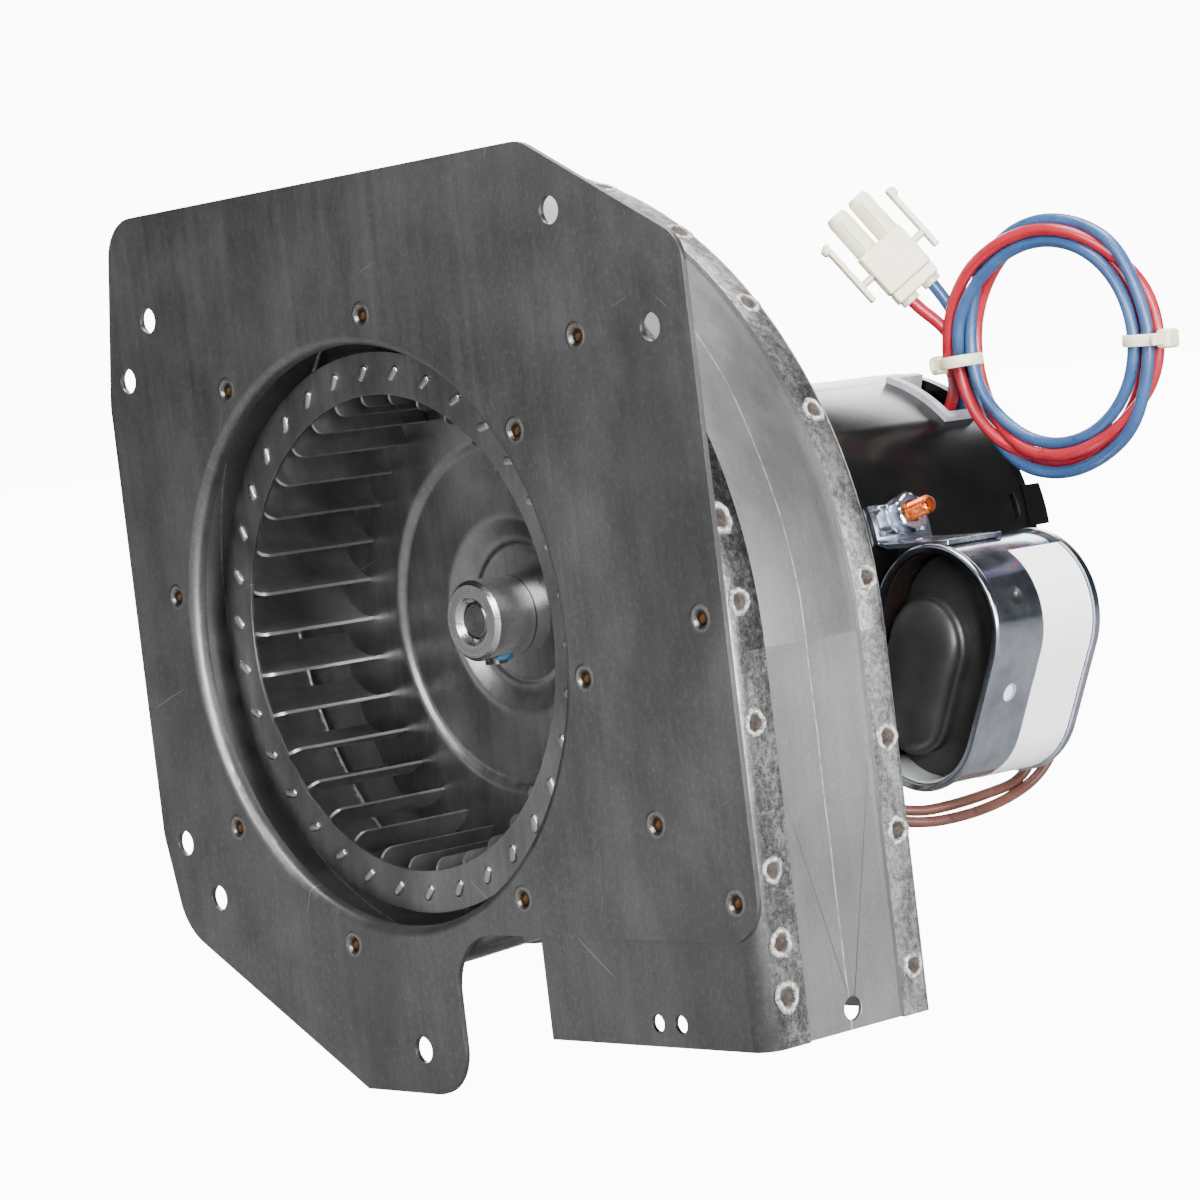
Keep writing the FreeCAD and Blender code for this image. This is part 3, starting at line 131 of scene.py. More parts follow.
class Finish:
    """A procedural material: a Principled surface and the nodes that feed it."""

    def __init__(self, name, metallic=0.0, **sockets):
        self.material = bpy.data.materials.new(name)
        self.material.use_nodes = True
        self.tree = self.material.node_tree
        self.surface = self.tree.nodes["Principled BSDF"]
        self.surface.inputs["Metallic"].default_value = metallic
        for socket, value in sockets.items():
            self.surface.inputs[socket.replace("_", " ")].default_value = value
        self.place = self.add("ShaderNodeTexCoord").outputs["Object"]

    def add(self, kind, **settings):
        node = self.tree.nodes.new(kind)
        for key, value in settings.items():
            setattr(node, key, value)
        return node

    def join(self, source, socket):
        if isinstance(source, bpy.types.NodeSocket):
            self.tree.links.new(source, socket)
        else:
            socket.default_value = source

    def noise(self, size, stretch=(1, 1, 1), detail=4.0, rough=0.55, distort=0.0):
        """Noise with features about size millimetres across, times stretch on each axis."""
        mapping = self.add("ShaderNodeMapping")
        mapping.inputs["Scale"].default_value = [1 / (size * MM * s) for s in stretch]
        self.join(self.place, mapping.inputs["Vector"])
        noise = self.add("ShaderNodeTexNoise")
        self.join(mapping.outputs["Vector"], noise.inputs["Vector"])
        for socket, value in (("Scale", 1.0), ("Detail", detail), ("Roughness", rough),
                              ("Distortion", distort)):
            noise.inputs[socket].default_value = value
        return noise.outputs["Fac"]

    def maths(self, operation, first, second=0.0):
        node = self.add("ShaderNodeMath", operation=operation)
        self.join(first, node.inputs[0])
        self.join(second, node.inputs[1])
        return node.outputs[0]

    def blend(self, first, share, second):
        """share of the first value added to the rest of the second."""
        return self.maths("ADD", self.maths("MULTIPLY", first, share),
                          self.maths("MULTIPLY", second, 1 - share))

    def span(self, value, low, high, start=0.0, end=1.0):
        """value carried from low..high to start..end, held at the ends."""
        node = self.add("ShaderNodeMapRange", clamp=True)
        self.join(value, node.inputs["Value"])
        for socket, number in (("From Min", low), ("From Max", high), ("To Min", start),
                               ("To Max", end)):
            node.inputs[socket].default_value = number
        return node.outputs["Result"]

    def ramp(self, factor, *stops):
        node = self.add("ShaderNodeValToRGB")
        set_stops(node, stops)
        self.join(factor, node.inputs["Fac"])
        return node.outputs["Color"]

    def mix(self, factor, first, second):
        """The first colour where factor is 0 and the second where it is 1."""
        node = self.add("ShaderNodeMix", data_type="RGBA")
        colours = [socket for socket in node.inputs if socket.type == "RGBA"]
        self.join(factor, node.inputs["Factor"])
        self.join(first, colours[0])
        self.join(second, colours[1])
        return next(socket for socket in node.outputs if socket.type == "RGBA")

    def attribute(self, name):
        return self.add("ShaderNodeAttribute", attribute_name=name).outputs["Fac"]

    def axes(self):
        node = self.add("ShaderNodeSeparateXYZ")
        self.join(self.place, node.inputs[0])
        return node.outputs

    def distance(self, point, squeeze=(1, 1, 1)):
        """Millimetres from a point, with each axis counted squeeze times."""
        mapping = self.add("ShaderNodeMapping")
        mapping.inputs["Location"].default_value = [
            -p * s for p, s in zip(point, squeeze)
        ]
        mapping.inputs["Scale"].default_value = [s / MM for s in squeeze]
        self.join(self.place, mapping.inputs["Vector"])
        length = self.add("ShaderNodeVectorMath", operation="LENGTH")
        self.join(mapping.outputs["Vector"], length.inputs[0])
        return length.outputs["Value"]

    def axis_distance(self):
        """Millimetres from the fan's axis."""
        return self.distance((0, 0, 0), (1, 0, 1))

    def colour(self, source):
        self.join(source, self.surface.inputs["Base Color"])

    def roughness(self, noise, low, high):
        """Roughness that follows a noise from low to high."""
        self.join(self.span(noise, 0.3, 0.7, low, high), self.surface.inputs["Roughness"])

    def bump(self, height, depth, strength):
        """Surface relief of depth millimetres from a 0 to 1 height."""
        node = self.add("ShaderNodeBump")
        node.inputs["Strength"].default_value = strength
        node.inputs["Distance"].default_value = depth * MM
        self.join(height, node.inputs["Height"])
        chained = self.surface.inputs["Normal"]
        if chained.is_linked:
            self.join(chained.links[0].from_socket, node.inputs["Normal"])
        self.join(node.outputs["Normal"], chained)


def rolled_steel(name, dark, light, roughness=(0.34, 0.50), stain=0.3, flange=None, score=None):
    """Bare mill sheet: rolling streaks, blotches, fine speckle and hairline scratches.

    flange is a powdery, rubbed zone (start, end, low, high) by depth; score is the depth of a
    thin scratch line that runs round the sheet.
    """
    finish = Finish(name, metallic=1.0)
    streaks = finish.noise(2.4, (1, 1, 30), detail=5, rough=0.65)
    blotches = finish.noise(22.0, (1, 1, 1.6), detail=7, rough=0.62)
    grain = finish.noise(0.42, detail=4, rough=0.75)
    speckle = finish.noise(1.1, (1, 1, 1.5), detail=5, rough=0.8)
    tone = finish.blend(streaks, 0.30, blotches)
    base = finish.ramp(tone, (0.36, dark), (0.64, light))
    base = finish.mix(finish.span(speckle, 0.50, 0.72, 0.0, 0.30), base, grey(165))
    base = finish.mix(finish.span(grain, 0.46, 0.28, 0.0, 0.35), base, grey(38))
    smear = finish.span(finish.noise(60.0, (1, 1, 1.3), detail=7, distort=0.6), 0.52, 0.66)
    base = finish.mix(finish.maths("MULTIPLY", smear, stain), base, grey(48))
    base = finish.mix(hairlines(finish), base, grey(190))
    if flange:
        start, end, low, high = flange
        worn = rubbed_powder(finish, grain, low, dark, high)
        base = finish.mix(flange_zone(finish, start, end), base, worn)
    if score:
        base = finish.mix(score_line(finish, score), base, grey(205))
    finish.colour(base)
    finish.roughness(tone, *roughness)
    finish.bump(grain, 0.04, 0.45)
    finish.bump(blotches, 0.30, 0.25)
    return finish.material


def flange_zone(finish, start, end):
    """1 past a depth and a radius, on the faces that don't face along the axis; 0 elsewhere."""
    deep = finish.span(finish.axes()["Y"], start * MM, end * MM)
    outside = finish.span(finish.axis_distance(), 61.0, 64.0)
    facing = finish.add("ShaderNodeSeparateXYZ")
    finish.join(finish.add("ShaderNodeNewGeometry").outputs["Normal"], facing.inputs[0])
    rim = finish.span(finish.maths("ABSOLUTE", facing.outputs["Y"]), 0.6, 0.8, 1.0, 0.0)
    return finish.maths("MULTIPLY", finish.maths("MULTIPLY", deep, outside), rim)


def rubbed_powder(finish, grain, low, middle, high):
    """The clouded, powdery grey of a flange that was rubbed."""
    powder = finish.noise(1.3, detail=9, rough=0.86)
    cloud = finish.noise(7.0, (1, 0.8, 1.5), detail=6, rough=0.7)
    rub = finish.blend(powder, 0.62, cloud)
    worn = finish.ramp(rub, (0.41, low), (0.49, middle), (0.58, high))
    return finish.mix(finish.span(grain, 0.52, 0.70, 0.0, 0.45), worn, grey(185))


def score_line(finish, depth):
    """A thin scratch that wanders and breaks a little round one depth, as a 0 to 1 mask."""
    wander = finish.span(finish.noise(30.0, detail=2), 0.3, 0.7, -0.35 * MM, 0.35 * MM)
    off_depth = finish.maths("SUBTRACT", finish.axes()["Y"], depth * MM)
    off_line = finish.maths("ABSOLUTE", finish.maths("ADD", wander, off_depth))
    line = finish.span(off_line, 0.10 * MM, 0.22 * MM, 1.0, 0.0)
    broken = finish.span(finish.noise(3.0, detail=3), 0.40, 0.55, 0.2, 0.8)
    return finish.maths("MULTIPLY", line, broken)


def hairlines(finish):
    """A few thin straight scratches, as a 0 to 1 mask."""
    masks = []
    for turn, size in ((0.35, 1.5), (-0.9, 2.1), (1.25, 1.8)):
        mapping = finish.add("ShaderNodeMapping", vector_type="TEXTURE")
        mapping.inputs["Rotation"].default_value = (0.0, turn, 0.0)
        mapping.inputs["Scale"].default_value = [size * MM * 0.35, 1.0, size * MM * 16]
        finish.join(finish.place, mapping.inputs["Vector"])
        noise = finish.add("ShaderNodeTexNoise")
        finish.join(mapping.outputs["Vector"], noise.inputs["Vector"])
        noise.inputs["Scale"].default_value = 1.0
        noise.inputs["Detail"].default_value = 1.0
        masks.append(finish.span(noise.outputs["Fac"], 0.775, 0.80, 0.0, 0.55))
    both = finish.maths("MAXIMUM", masks[0], masks[1])
    return finish.maths("MAXIMUM", both, masks[2])


def turned_steel(name, tint, relief=1.0):
    """Lathe-cut metal: fine concentric rings round the fan's axis."""
    finish = Finish(name, metallic=1.0)
    radial = finish.axis_distance()
    rings = finish.maths("SINE", finish.maths("MULTIPLY", radial, 14.0))
    broad = finish.maths("SINE", finish.maths("MULTIPLY", radial, 4.1))
    tone = finish.maths("ADD", finish.maths("MULTIPLY", rings, 0.25), broad)
    along = finish.maths("SINE", finish.maths("MULTIPLY", finish.axes()["Y"], 14000.0))
    grain = finish.noise(0.8, detail=3)
    finish.colour(finish.mix(finish.span(tone, -1.2, 1.2, 0.0, 0.35 * relief), tint, grey(120)))
    finish.roughness(grain, 0.18, 0.28)
    finish.bump(rings, 0.02 * relief, 0.5)
    finish.bump(along, 0.012 * relief, 0.4)
    return finish


def plated(name, tint, shade, roughness=(0.14, 0.3), size=5.0):
    """Bright plated sheet with faint clouding."""
    finish = Finish(name, metallic=1.0)
    cloud = finish.noise(size, detail=5, rough=0.6)
    drawn = finish.noise(0.9, (1, 14, 1), detail=3)
    finish.colour(finish.ramp(cloud, (0.35, shade), (0.65, tint)))
    finish.roughness(cloud, *roughness)
    finish.bump(drawn, 0.01, 0.3)
    finish.bump(cloud, 0.03, 0.2)
    return finish.material


def moulded(name, low, high, roughness=0.4, size=6.0, relief=0.05, **sockets):
    """Plastic, rubber or varnish: slight colour drift and a fine skin."""
    finish = Finish(name, **sockets)
    drift = finish.noise(size, detail=5)
    skin = finish.noise(0.6, detail=3)
    finish.colour(finish.ramp(drift, (0.35, low), (0.65, high)))
    finish.roughness(skin, roughness * 0.8, roughness * 1.2)
    finish.bump(skin, relief, 0.4)
    return finish.material


def black_paint():
    """Stove enamel over drawn sheet: orange peel, a dusty bloom and rubbed spots."""
    finish = Finish("black_motor_paint", Specular_IOR_Level=0.25)
    peel = finish.noise(0.9, detail=3)
    cloud = finish.noise(14.0, detail=6)
    dust = finish.span(finish.noise(0.5, detail=2), 0.72, 0.80, 0.0, 0.12)
    base = finish.ramp(cloud, (0.35, grey(8)), (0.70, grey(14)))
    finish.colour(finish.mix(dust, base, grey(95)))
    finish.roughness(cloud, 0.20, 0.28)
    finish.bump(peel, 0.03, 0.45)
    return finish.material


def chalky_clinch():
    """A pressed joint: a whitish crumbly ring round a dark brown, burnished centre, with a
    near-black ring of painted shade at the foot of the ring's inner side.
    """
    finish = Finish("clinch_ring", metallic=0.15)
    reach = finish.attribute("reach")
    crumble = finish.noise(0.55, detail=6, rough=0.8, distort=0.6)
    edge = finish.maths("ADD", reach, finish.span(crumble, 0.3, 0.7, -0.22, 0.22))
    # the near-black stop at 0.52 is painted shade where the raised ring falls to the centre
    base = finish.ramp(edge, (0.0, srgb(34, 25, 20)), (0.34, srgb(52, 38, 31)),
                       (0.52, srgb(18, 15, 13)), (0.62, srgb(140, 136, 130)),
                       (0.72, srgb(240, 239, 236)), (0.88, srgb(170, 169, 167)),
                       (1.0, srgb(96, 95, 94)))
    patches = finish.noise(1.7, detail=4, rough=0.7)
    base = finish.mix(finish.span(patches, 0.46, 0.60, 0, 0.75), base, srgb(82, 76, 71))
    flecks = finish.span(crumble, 0.54, 0.62, 0, 0.8)
    finish.colour(finish.mix(flecks, base, srgb(58, 51, 46)))
    finish.roughness(crumble, 0.35, 0.75)
    finish.bump(crumble, 0.35, 1.0)
    return finish.material


def plate_clinch():
    """A pressed dimple: golden brown floor, with a ring of painted shade in the crease at the
    wall's foot and a painted highlight round its rim.
    """
    finish = Finish("clinch_dimple", metallic=1.0)
    reach = finish.attribute("reach")
    grain = finish.noise(0.5, detail=4, rough=0.7)
    edge = finish.maths("ADD", reach, finish.span(grain, 0.3, 0.7, -0.08, 0.08))
    # painted shade near black at reach 0.42, the crease at the wall's foot; painted highlight in
    # the light greys at the rim, reach 0.58 to 0.76
    finish.colour(finish.ramp(edge, (0.0, srgb(142, 104, 60)), (0.30, srgb(100, 72, 44)),
                              (0.42, srgb(54, 46, 40)), (0.58, srgb(120, 118, 114)),
                              (0.76, srgb(146, 145, 143)), (1.0, srgb(107, 107, 107))))
    finish.roughness(grain, 0.22, 0.38)
    finish.bump(grain, 0.06, 0.5)
    return finish.material


def label_paper():
    finish = Finish("white_label")
    fibre = finish.noise(0.8, (1, 3, 1), detail=4)
    cloud = finish.noise(9.0, detail=4)
    tone = finish.maths("MULTIPLY", finish.maths("ADD", fibre, cloud), 0.5)
    finish.colour(finish.ramp(tone, (0.3, srgb(244, 243, 252)), (0.7, srgb(254, 253, 255))))
    finish.roughness(fibre, 0.45, 0.6)
    finish.bump(fibre, 0.03, 0.3)
    return finish.material


def amber_film():
    """The insulating wrap: amber at the outer side and painted deep shade against the motor, with
    a painted sheen of bright metal along its bottom and a painted highlight behind the side hole.
    """
    finish = Finish("amber_liner", IOR=1.5)
    cloud = finish.noise(7.0, (1, 2, 1), detail=4)
    amber = finish.ramp(cloud, (0.3, srgb(88, 54, 14)), (0.7, srgb(136, 88, 24)))
    sides = finish.axes()
    outer = finish.maths("MULTIPLY", finish.span(sides["X"], 66.0 * MM, 70.0 * MM),
                         finish.span(sides["Z"], -12.0 * MM, -19.0 * MM))
    # painted shade: near black wherever the wrap is away from its outer side
    base = finish.mix(outer, srgb(24, 18, 17), amber)
    # painted sheen: a bright metal grey along the bottom
    under_painted_sheen = finish.span(sides["Z"], -42.0 * MM, -46.5 * MM)
    base = finish.mix(under_painted_sheen, base, srgb(168, 174, 168))
    # painted highlight: near white behind the shield's side hole
    hole_highlight = finish.span(finish.distance((72.6, 115.8, -29.0)), 3.6, 4.2, 1.0, 0.0)
    finish.colour(finish.mix(hole_highlight, base, srgb(238, 236, 244)))
    finish.roughness(cloud, 0.2, 0.35)
    finish.bump(cloud, 0.1, 0.4)
    return finish.material


def nylon():
    finish = Finish("natural_nylon", Subsurface_Weight=0.35, Subsurface_Scale=0.002,
                    IOR=1.53, Transmission_Weight=0.12)
    cloud = finish.noise(5.0, detail=4)
    skin = finish.noise(0.5, detail=3)
    finish.colour(finish.ramp(cloud, (0.3, srgb(240, 230, 196)), (0.7, srgb(252, 245, 218))))
    finish.roughness(skin, 0.3, 0.42)
    finish.bump(skin, 0.03, 0.35)
    return finish.material


def wire_skin(name, low, high):
    """Glossy PVC insulation with slight ripples and handling marks."""
    finish = Finish(name, IOR=1.5, Coat_Weight=0.15, Coat_Roughness=0.2)
    drift = finish.noise(9.0, detail=4)
    ripple = finish.noise(2.2, detail=3)
    finish.colour(finish.ramp(drift, (0.35, low), (0.65, high)))
    finish.roughness(ripple, 0.26, 0.40)
    finish.bump(ripple, 0.06, 0.4)
    return finish.material


def hub_steel():
    """The turned hub: smooth outside, painted shade in its bore, and a thin dark line of painted
    shade for a tooling groove behind.
    """
    finish = turned_steel("hub_steel", grey(212), relief=0.5)
    turned = finish.surface.inputs["Base Color"].links[0].from_socket
    low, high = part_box("wheel_hub")
    groove_at = low[1] + 0.68 * (high[1] - low[1])
    off_groove = finish.maths("ABSOLUTE", finish.maths("SUBTRACT", finish.axes()["Y"], groove_at))
    # painted shade: a thin near-black line stands in for the shade in a tooling groove
    groove = finish.span(off_groove, 0.16 * MM, 0.26 * MM, 0.85, 0.0)
    base = finish.mix(groove, turned, grey(24))
    # painted shade darkens the bore
    bore = finish.span(finish.axis_distance(), 3.9, 4.2, 0.7, 0.0)
    finish.colour(finish.mix(bore, base, grey(30)))
    return finish.material


def thread_lock():
    """Dried blue thread lock, glossy, with whitish crumbs."""
    finish = Finish("blue_thread_lock", Coat_Weight=0.4)
    crumbs = finish.noise(0.7, detail=5, rough=0.7)
    drift = finish.noise(2.0, detail=3)
    base = finish.ramp(drift, (0.35, srgb(34, 84, 132)), (0.65, srgb(66, 124, 168)))
    finish.colour(finish.mix(finish.span(crumbs, 0.60, 0.70, 0.0, 0.7), base, srgb(190, 206, 220)))
    finish.roughness(crumbs, 0.25, 0.5)
    finish.bump(crumbs, 0.25, 0.8)
    return finish.material


def bright_can():
    """The shield's bright sheet, with the spot-weld dent at its upper outer side and a near-white
    painted glint at the dent.
    """
    finish = Finish("bright_can_steel", metallic=1.0)
    cloud = finish.noise(9.0, detail=5, rough=0.6)
    drawn = finish.noise(1.6, (8, 1, 1.4), detail=4)
    base = finish.ramp(cloud, (0.35, srgb(142, 149, 160)), (0.65, srgb(178, 184, 193)))
    dent_and_glint = finish.distance((77.4, 115.8, -8.1))
    # painted glint: near white at the dent's middle
    finish.colour(finish.mix(finish.span(dent_and_glint, 0.5, 0.9, 0.9, 0.0), base, srgb(250, 250, 252)))
    finish.roughness(cloud, 0.13, 0.24)
    finish.bump(drawn, 0.02, 0.3)
    finish.bump(cloud, 0.12, 0.3)
    finish.bump(finish.span(dent_and_glint, 0.0, 2.2, 0.0, 1.0), 0.5, 0.8)
    return finish.material


def make_materials():
    return {
        "plate": rolled_steel("plate_steel", grey(102), grey(122)),
        "front": rolled_steel("front_panel_steel", grey(106), grey(126), (0.26, 0.40),
                              flange=(3.0, 6.5, grey(72), grey(184))),
        # painted light: the back panel's sheet is a lighter copy of the front panel's, to lift its
        # rear flange out of shade
        "back": rolled_steel("back_panel_steel", grey(132), grey(158),
                             flange=(20.0, 30.0, grey(84), grey(196))),
        "wrapper": rolled_steel("wrapper_steel", grey(130), grey(150), (0.48, 0.60), stain=0.2,
                                score=24.5),
        "wheel": rolled_steel("wheel_steel", grey(150), grey(178), (0.34, 0.50), stain=0.2),
        "disc": rolled_steel("back_disc_steel", grey(114), grey(146), (0.26, 0.40), stain=0.5),
        "hub": hub_steel(),
        "thread_lock": thread_lock(),
        "shaft": turned_steel("shaft_steel", grey(120)).material,
        "screw": plated("set_screw_steel", grey(90), grey(60), (0.3, 0.45), 1.5),
        "zinc": plated("zinc_plated_steel", srgb(208, 216, 228), srgb(168, 178, 194)),
        "chrome": bright_can(),
        "copper": plated("copper_weld_stud", srgb(228, 116, 58), srgb(184, 80, 34), (0.22, 0.38),
                         2.0),
        "paint": black_paint(),
        "laminations": plated("electrical_steel", grey(120), grey(88), (0.4, 0.55), 2.0),
        "enamel": moulded("winding_enamel", srgb(120, 52, 24), srgb(164, 78, 38), 0.3, 1.4),
        "aluminium": plated("cast_aluminium", grey(190), grey(160), (0.4, 0.55), 3.0),
        "bronze": plated("sintered_bronze", srgb(178, 132, 78), srgb(142, 100, 58), (0.4, 0.6),
                         1.2),
        "can": plated("can_aluminium", grey(215), grey(190), (0.2, 0.34), 8.0),
        "amber": amber_film(),
        "rubber": moulded("black_rubber", grey(30), grey(42), 0.42, 9.0, relief=0.03),
        "label": label_paper(),
        "nylon": nylon(),
        "brass": plated("tinned_brass", srgb(214, 208, 190), srgb(184, 176, 152)),
        "red": wire_skin("red_pvc", srgb(142, 16, 32), srgb(164, 28, 44)),
        "blue": wire_skin("blue_pvc", srgb(38, 66, 106), srgb(50, 82, 124)),
        "brown": wire_skin("brown_pvc", srgb(74, 44, 37), srgb(94, 57, 48)),
        "bushing": moulded("grey_bushing", srgb(158, 158, 164), srgb(184, 184, 190), 0.5),
        "tabs": rolled_steel("tab_steel", grey(160), grey(190), (0.22, 0.34), stain=0.1),
        "dimple": plate_clinch(),
        "chalk": chalky_clinch(),
    }


NODE_FINISHES = {
    "mounting_plate": "plate", "scroll_front_panel": "front", "scroll_back_panel": "back",
    "scroll_wrapper": "wrapper", "wheel_front_ring": "disc", "wheel_blades": "wheel",
    "wheel_back_disc": "wheel", "wheel_hub": "hub", "hub_set_screw": "screw",
    "motor_shaft": "shaft", "cooling_fan": "aluminium", "rotor_core": "laminations",
    "rotor_end_rings": "aluminium", "thrust_washers": "bronze", "retaining_rings": "screw",
    "front_end_shield": "paint", "rear_end_shield": "paint", "motor_shell": "paint",
    "lead_bushing": "bushing", "stator_core": "laminations", "stator_windings": "enamel",
    "front_bearing": "bronze", "rear_bearing": "bronze", "through_bolts": "zinc",
    "through_bolt_nuts": "zinc", "motor_spacers": "zinc", "capacitor_shield": "chrome",
    "capacitor_liner": "amber", "capacitor_can": "can", "capacitor_boot": "rubber",
    "capacitor_label": "label", "capacitor_bracket": "zinc", "bracket_stud": "copper",
    "bracket_washer": "zinc", "bracket_nut": "zinc", "connector_housing": "nylon",
    "connector_terminals": "brass", "cable_tie_left": "nylon", "cable_tie_right": "nylon",
    "red_lead_exit": "red", "red_lead_end": "red", "blue_lead_exit": "blue",
    "blue_lead_end": "blue", "lead_coil": "red", "capacitor_lead_1": "brown",
    "capacitor_lead_2": "brown",
}


def dress_nodes(materials):
    for name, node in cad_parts.items():
        node.data.materials.clear()
        node.data.materials.append(materials[NODE_FINISHES[name]])


# ---------------------------------------------------------------- mesh helpers

def add_piece(name, bm, material, body, smooth_under=40.0):
    """Makes the mesh an object in the frame that rides on a body."""
    bmesh.ops.remove_doubles(bm, verts=bm.verts, dist=1e-7)
    bmesh.ops.recalc_face_normals(bm, faces=bm.faces)
    mesh = bpy.data.meshes.new(name)
    bm.to_mesh(mesh)
    bm.free()
    mesh.materials.append(material)
    for face in mesh.polygons:
        face.use_smooth = True
    mesh.set_sharp_from_angle(angle=math.radians(smooth_under))
    piece = add_object(name, mesh)
    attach(piece, body)
    return piece


def axes_matrix(origin, along, across):
    """From local millimetres to metres: Z runs along, X lies nearest to across."""
    z = Vector(along).normalized()
    x = (Vector(across) - z * Vector(across).dot(z)).normalized()
    y = z.cross(x)
    matrix = Matrix((x, y, z)).transposed().to_4x4()
    matrix.translation = Vector(origin) * MM
    return matrix @ Matrix.Scale(MM, 4)


def skin(bm, rows):
    """Quads between rows of points, each row a closed ring."""
    made = [[bm.verts.new(point) for point in row] for row in rows]
    for low, high in zip(made, made[1:]):
        for i in range(len(low)):
            j = (i + 1) % len(low)
            bm.faces.new((low[i], low[j], high[j], high[i]))
    return made


def cap(bm, row):
    bm.faces.new(row)


def lathe(bm, matrix, profile, segments, shape=None):
    """Turns (radius, height) pairs about the matrix's Z; shape limits the radius by angle."""
    rows = []
    for radius, height in profile:
        row = []
        for i in range(segments):
            angle = TURN * i / segments
            reach = min(radius, shape(angle)) if shape else radius
            row.append(matrix @ Vector((reach * math.cos(angle), reach * math.sin(angle), height)))
        rows.append(row)
    skin(bm, rows)


def block(bm, matrix, low, high, chamfer):
    """A rectangular bar with every edge broken by a small chamfer."""
    lx, ly, lz = low
    hx, hy, hz = high
    levels = ((lz, chamfer), (lz + chamfer, 0.0), (hz - chamfer, 0.0), (hz, chamfer))
    rows = []
    for z, inset in levels:
        x0, x1, y0, y1 = lx + inset, hx - inset, ly + inset, hy - inset
        outline = [(x0 + chamfer, y0), (x1 - chamfer, y0), (x1, y0 + chamfer), (x1, y1 - chamfer),
                   (x1 - chamfer, y1), (x0 + chamfer, y1), (x0, y1 - chamfer), (x0, y0 + chamfer)]
        rows.append([matrix @ Vector((x, y, z)) for x, y in outline])
    made = skin(bm, rows)
    cap(bm, made[0][::-1])
    cap(bm, made[-1])


# ---------------------------------------------------------------- leads

COIL_CENTRE = Vector((65.0, 150.0, 44.3))
COIL_TURN = math.radians(5.5)
COIL_OUT = Vector((math.cos(COIL_TURN), math.sin(COIL_TURN), 0))
COIL_NORMAL = Vector((math.sin(COIL_TURN), -math.cos(COIL_TURN), 0))
COIL_RADIUS = 25.2
COIL_BUNDLE = 4.1
COIL_TURNS = 2
POINTS_PER_TURN = 16
LEAD = 2.8
CAP_LEAD = 2.4
# strands that lie too close are pushed apart this many times, by this share of the overlap
SETTLING_ROUNDS = 60
PUSH_SHARE = 0.3
STRAND_PITCH = LEAD * 1.03
# where each lead lies in the bundle at every quarter turn: outwards, and towards the front
RED_LAY = [(2.4, 2.2), (0.9, 1.5), (2.6, -2.4), (-0.2, 2.0), (-2.3, -2.4), (0.2, -2.0),
           (-0.9, -1.9), (1.4, -0.6), (1.9, -0.7)]
BLUE_LAY = [(-0.9, 2.6), (-1.7, 0.2), (-1.6, 1.4), (-2.8, 0.6), (-2.9, 0.4), (3.1, -0.6),
            (1.7, 0.4), (3.9, 0.9), (0.4, -3.2)]
RED_EXIT = [(20.5, 156.5, 25.5), (25.5, 156.6, 31.5), (31.5, 153.8, 37.6)]
BLUE_EXIT = [(21.5, 160.0, 26.5), (25.5, 160.0, 31.5), (32.5, 156.4, 36.0)]
RED_END = [(38.3, 146.2, 49.4), (36.8, 144.4, 52.6), (33.5, 141.4, 56.7), (30.2, 138.2, 63.2)]
BLUE_END = [(39.6, 148.0, 51.4), (38.6, 147.2, 55.6), (36.6, 145.3, 60.4), (33.4, 142.1, 67.0)]
CAP_LEAD_1 = [
    (51.0, 141.3, -31.0), (50.9, 144.9, -32.6), (50.6, 147.4, -36.8), (50.2, 147.8, -42.8),
    (49.6, 145.4, -48.2), (49.2, 140.0, -52.4), (49.2, 130.5, -53.4), (49.2, 119.0, -54.2),
    (47.2, 108.4, -54.4), (42.2, 98.6, -50.6), (35.0, 90.5, -43.5), (27.6, 87.2, -36.2),
    (20.5, 86.0, -27.6),
]
CAP_LEAD_2 = [
    (54.2, 141.3, -33.0), (54.0, 145.1, -34.1), (53.6, 149.0, -38.6), (53.0, 150.0, -44.6),
    (51.8, 147.8, -49.4), (50.8, 142.0, -53.4), (50.6, 131.5, -56.0), (50.6, 119.0, -57.0),
    (49.4, 107.0, -56.6), (45.0, 95.5, -53.0), (37.0, 87.5, -46.2), (28.4, 83.4, -37.4),
    (21.3, 82.2, -28.8),
]


def coil_point(degrees, outward=0.0, forward=0.0):
    """A point by the coil's circle, counted from its side nearest the motor towards the top."""
    angle = math.radians(degrees)
    radius = COIL_RADIUS + outward
    sideways = COIL_OUT * (-radius * math.cos(angle))
    upwards = Vector((0, 0, radius * math.sin(angle)))
    return COIL_CENTRE + sideways + upwards + COIL_NORMAL * forward


def lay_at(keys, step):
    """The place in the bundle at a step of the coil, eased between the quarter turns."""
    place = step * 4 / POINTS_PER_TURN
    first = min(int(place), len(keys) - 2)
    ease = (1 - math.cos(math.pi * (place - first))) / 2
    return Vector(keys[first]).lerp(Vector(keys[first + 1]), ease)


def wind_coil():
    """Two turns of both leads, with strands at one place in the coil pushed apart."""
    steps = COIL_TURNS * POINTS_PER_TURN + 1
    lays = [[lay_at(keys, step) for step in range(steps)] for keys in (RED_LAY, BLUE_LAY)]
    for _ in range(SETTLING_ROUNDS):
        for place in range(POINTS_PER_TURN):
            passes = range(place, steps, POINTS_PER_TURN)
            here = [(lead, step) for lead in (0, 1) for step in passes]
            for i, (lead, step) in enumerate(here):
                for other_lead, other_step in here[i + 1:]:
                    gap = lays[other_lead][other_step] - lays[lead][step]
                    short = STRAND_PITCH - gap.length
                    if short > 0:
                        push = gap.normalized() * (short * PUSH_SHARE)
                        lays[lead][step] -= push
                        lays[other_lead][other_step] += push
    degrees = 360 / POINTS_PER_TURN
    return [[coil_point(step * degrees, *lay) for step, lay in enumerate(lead)] for lead in lays]


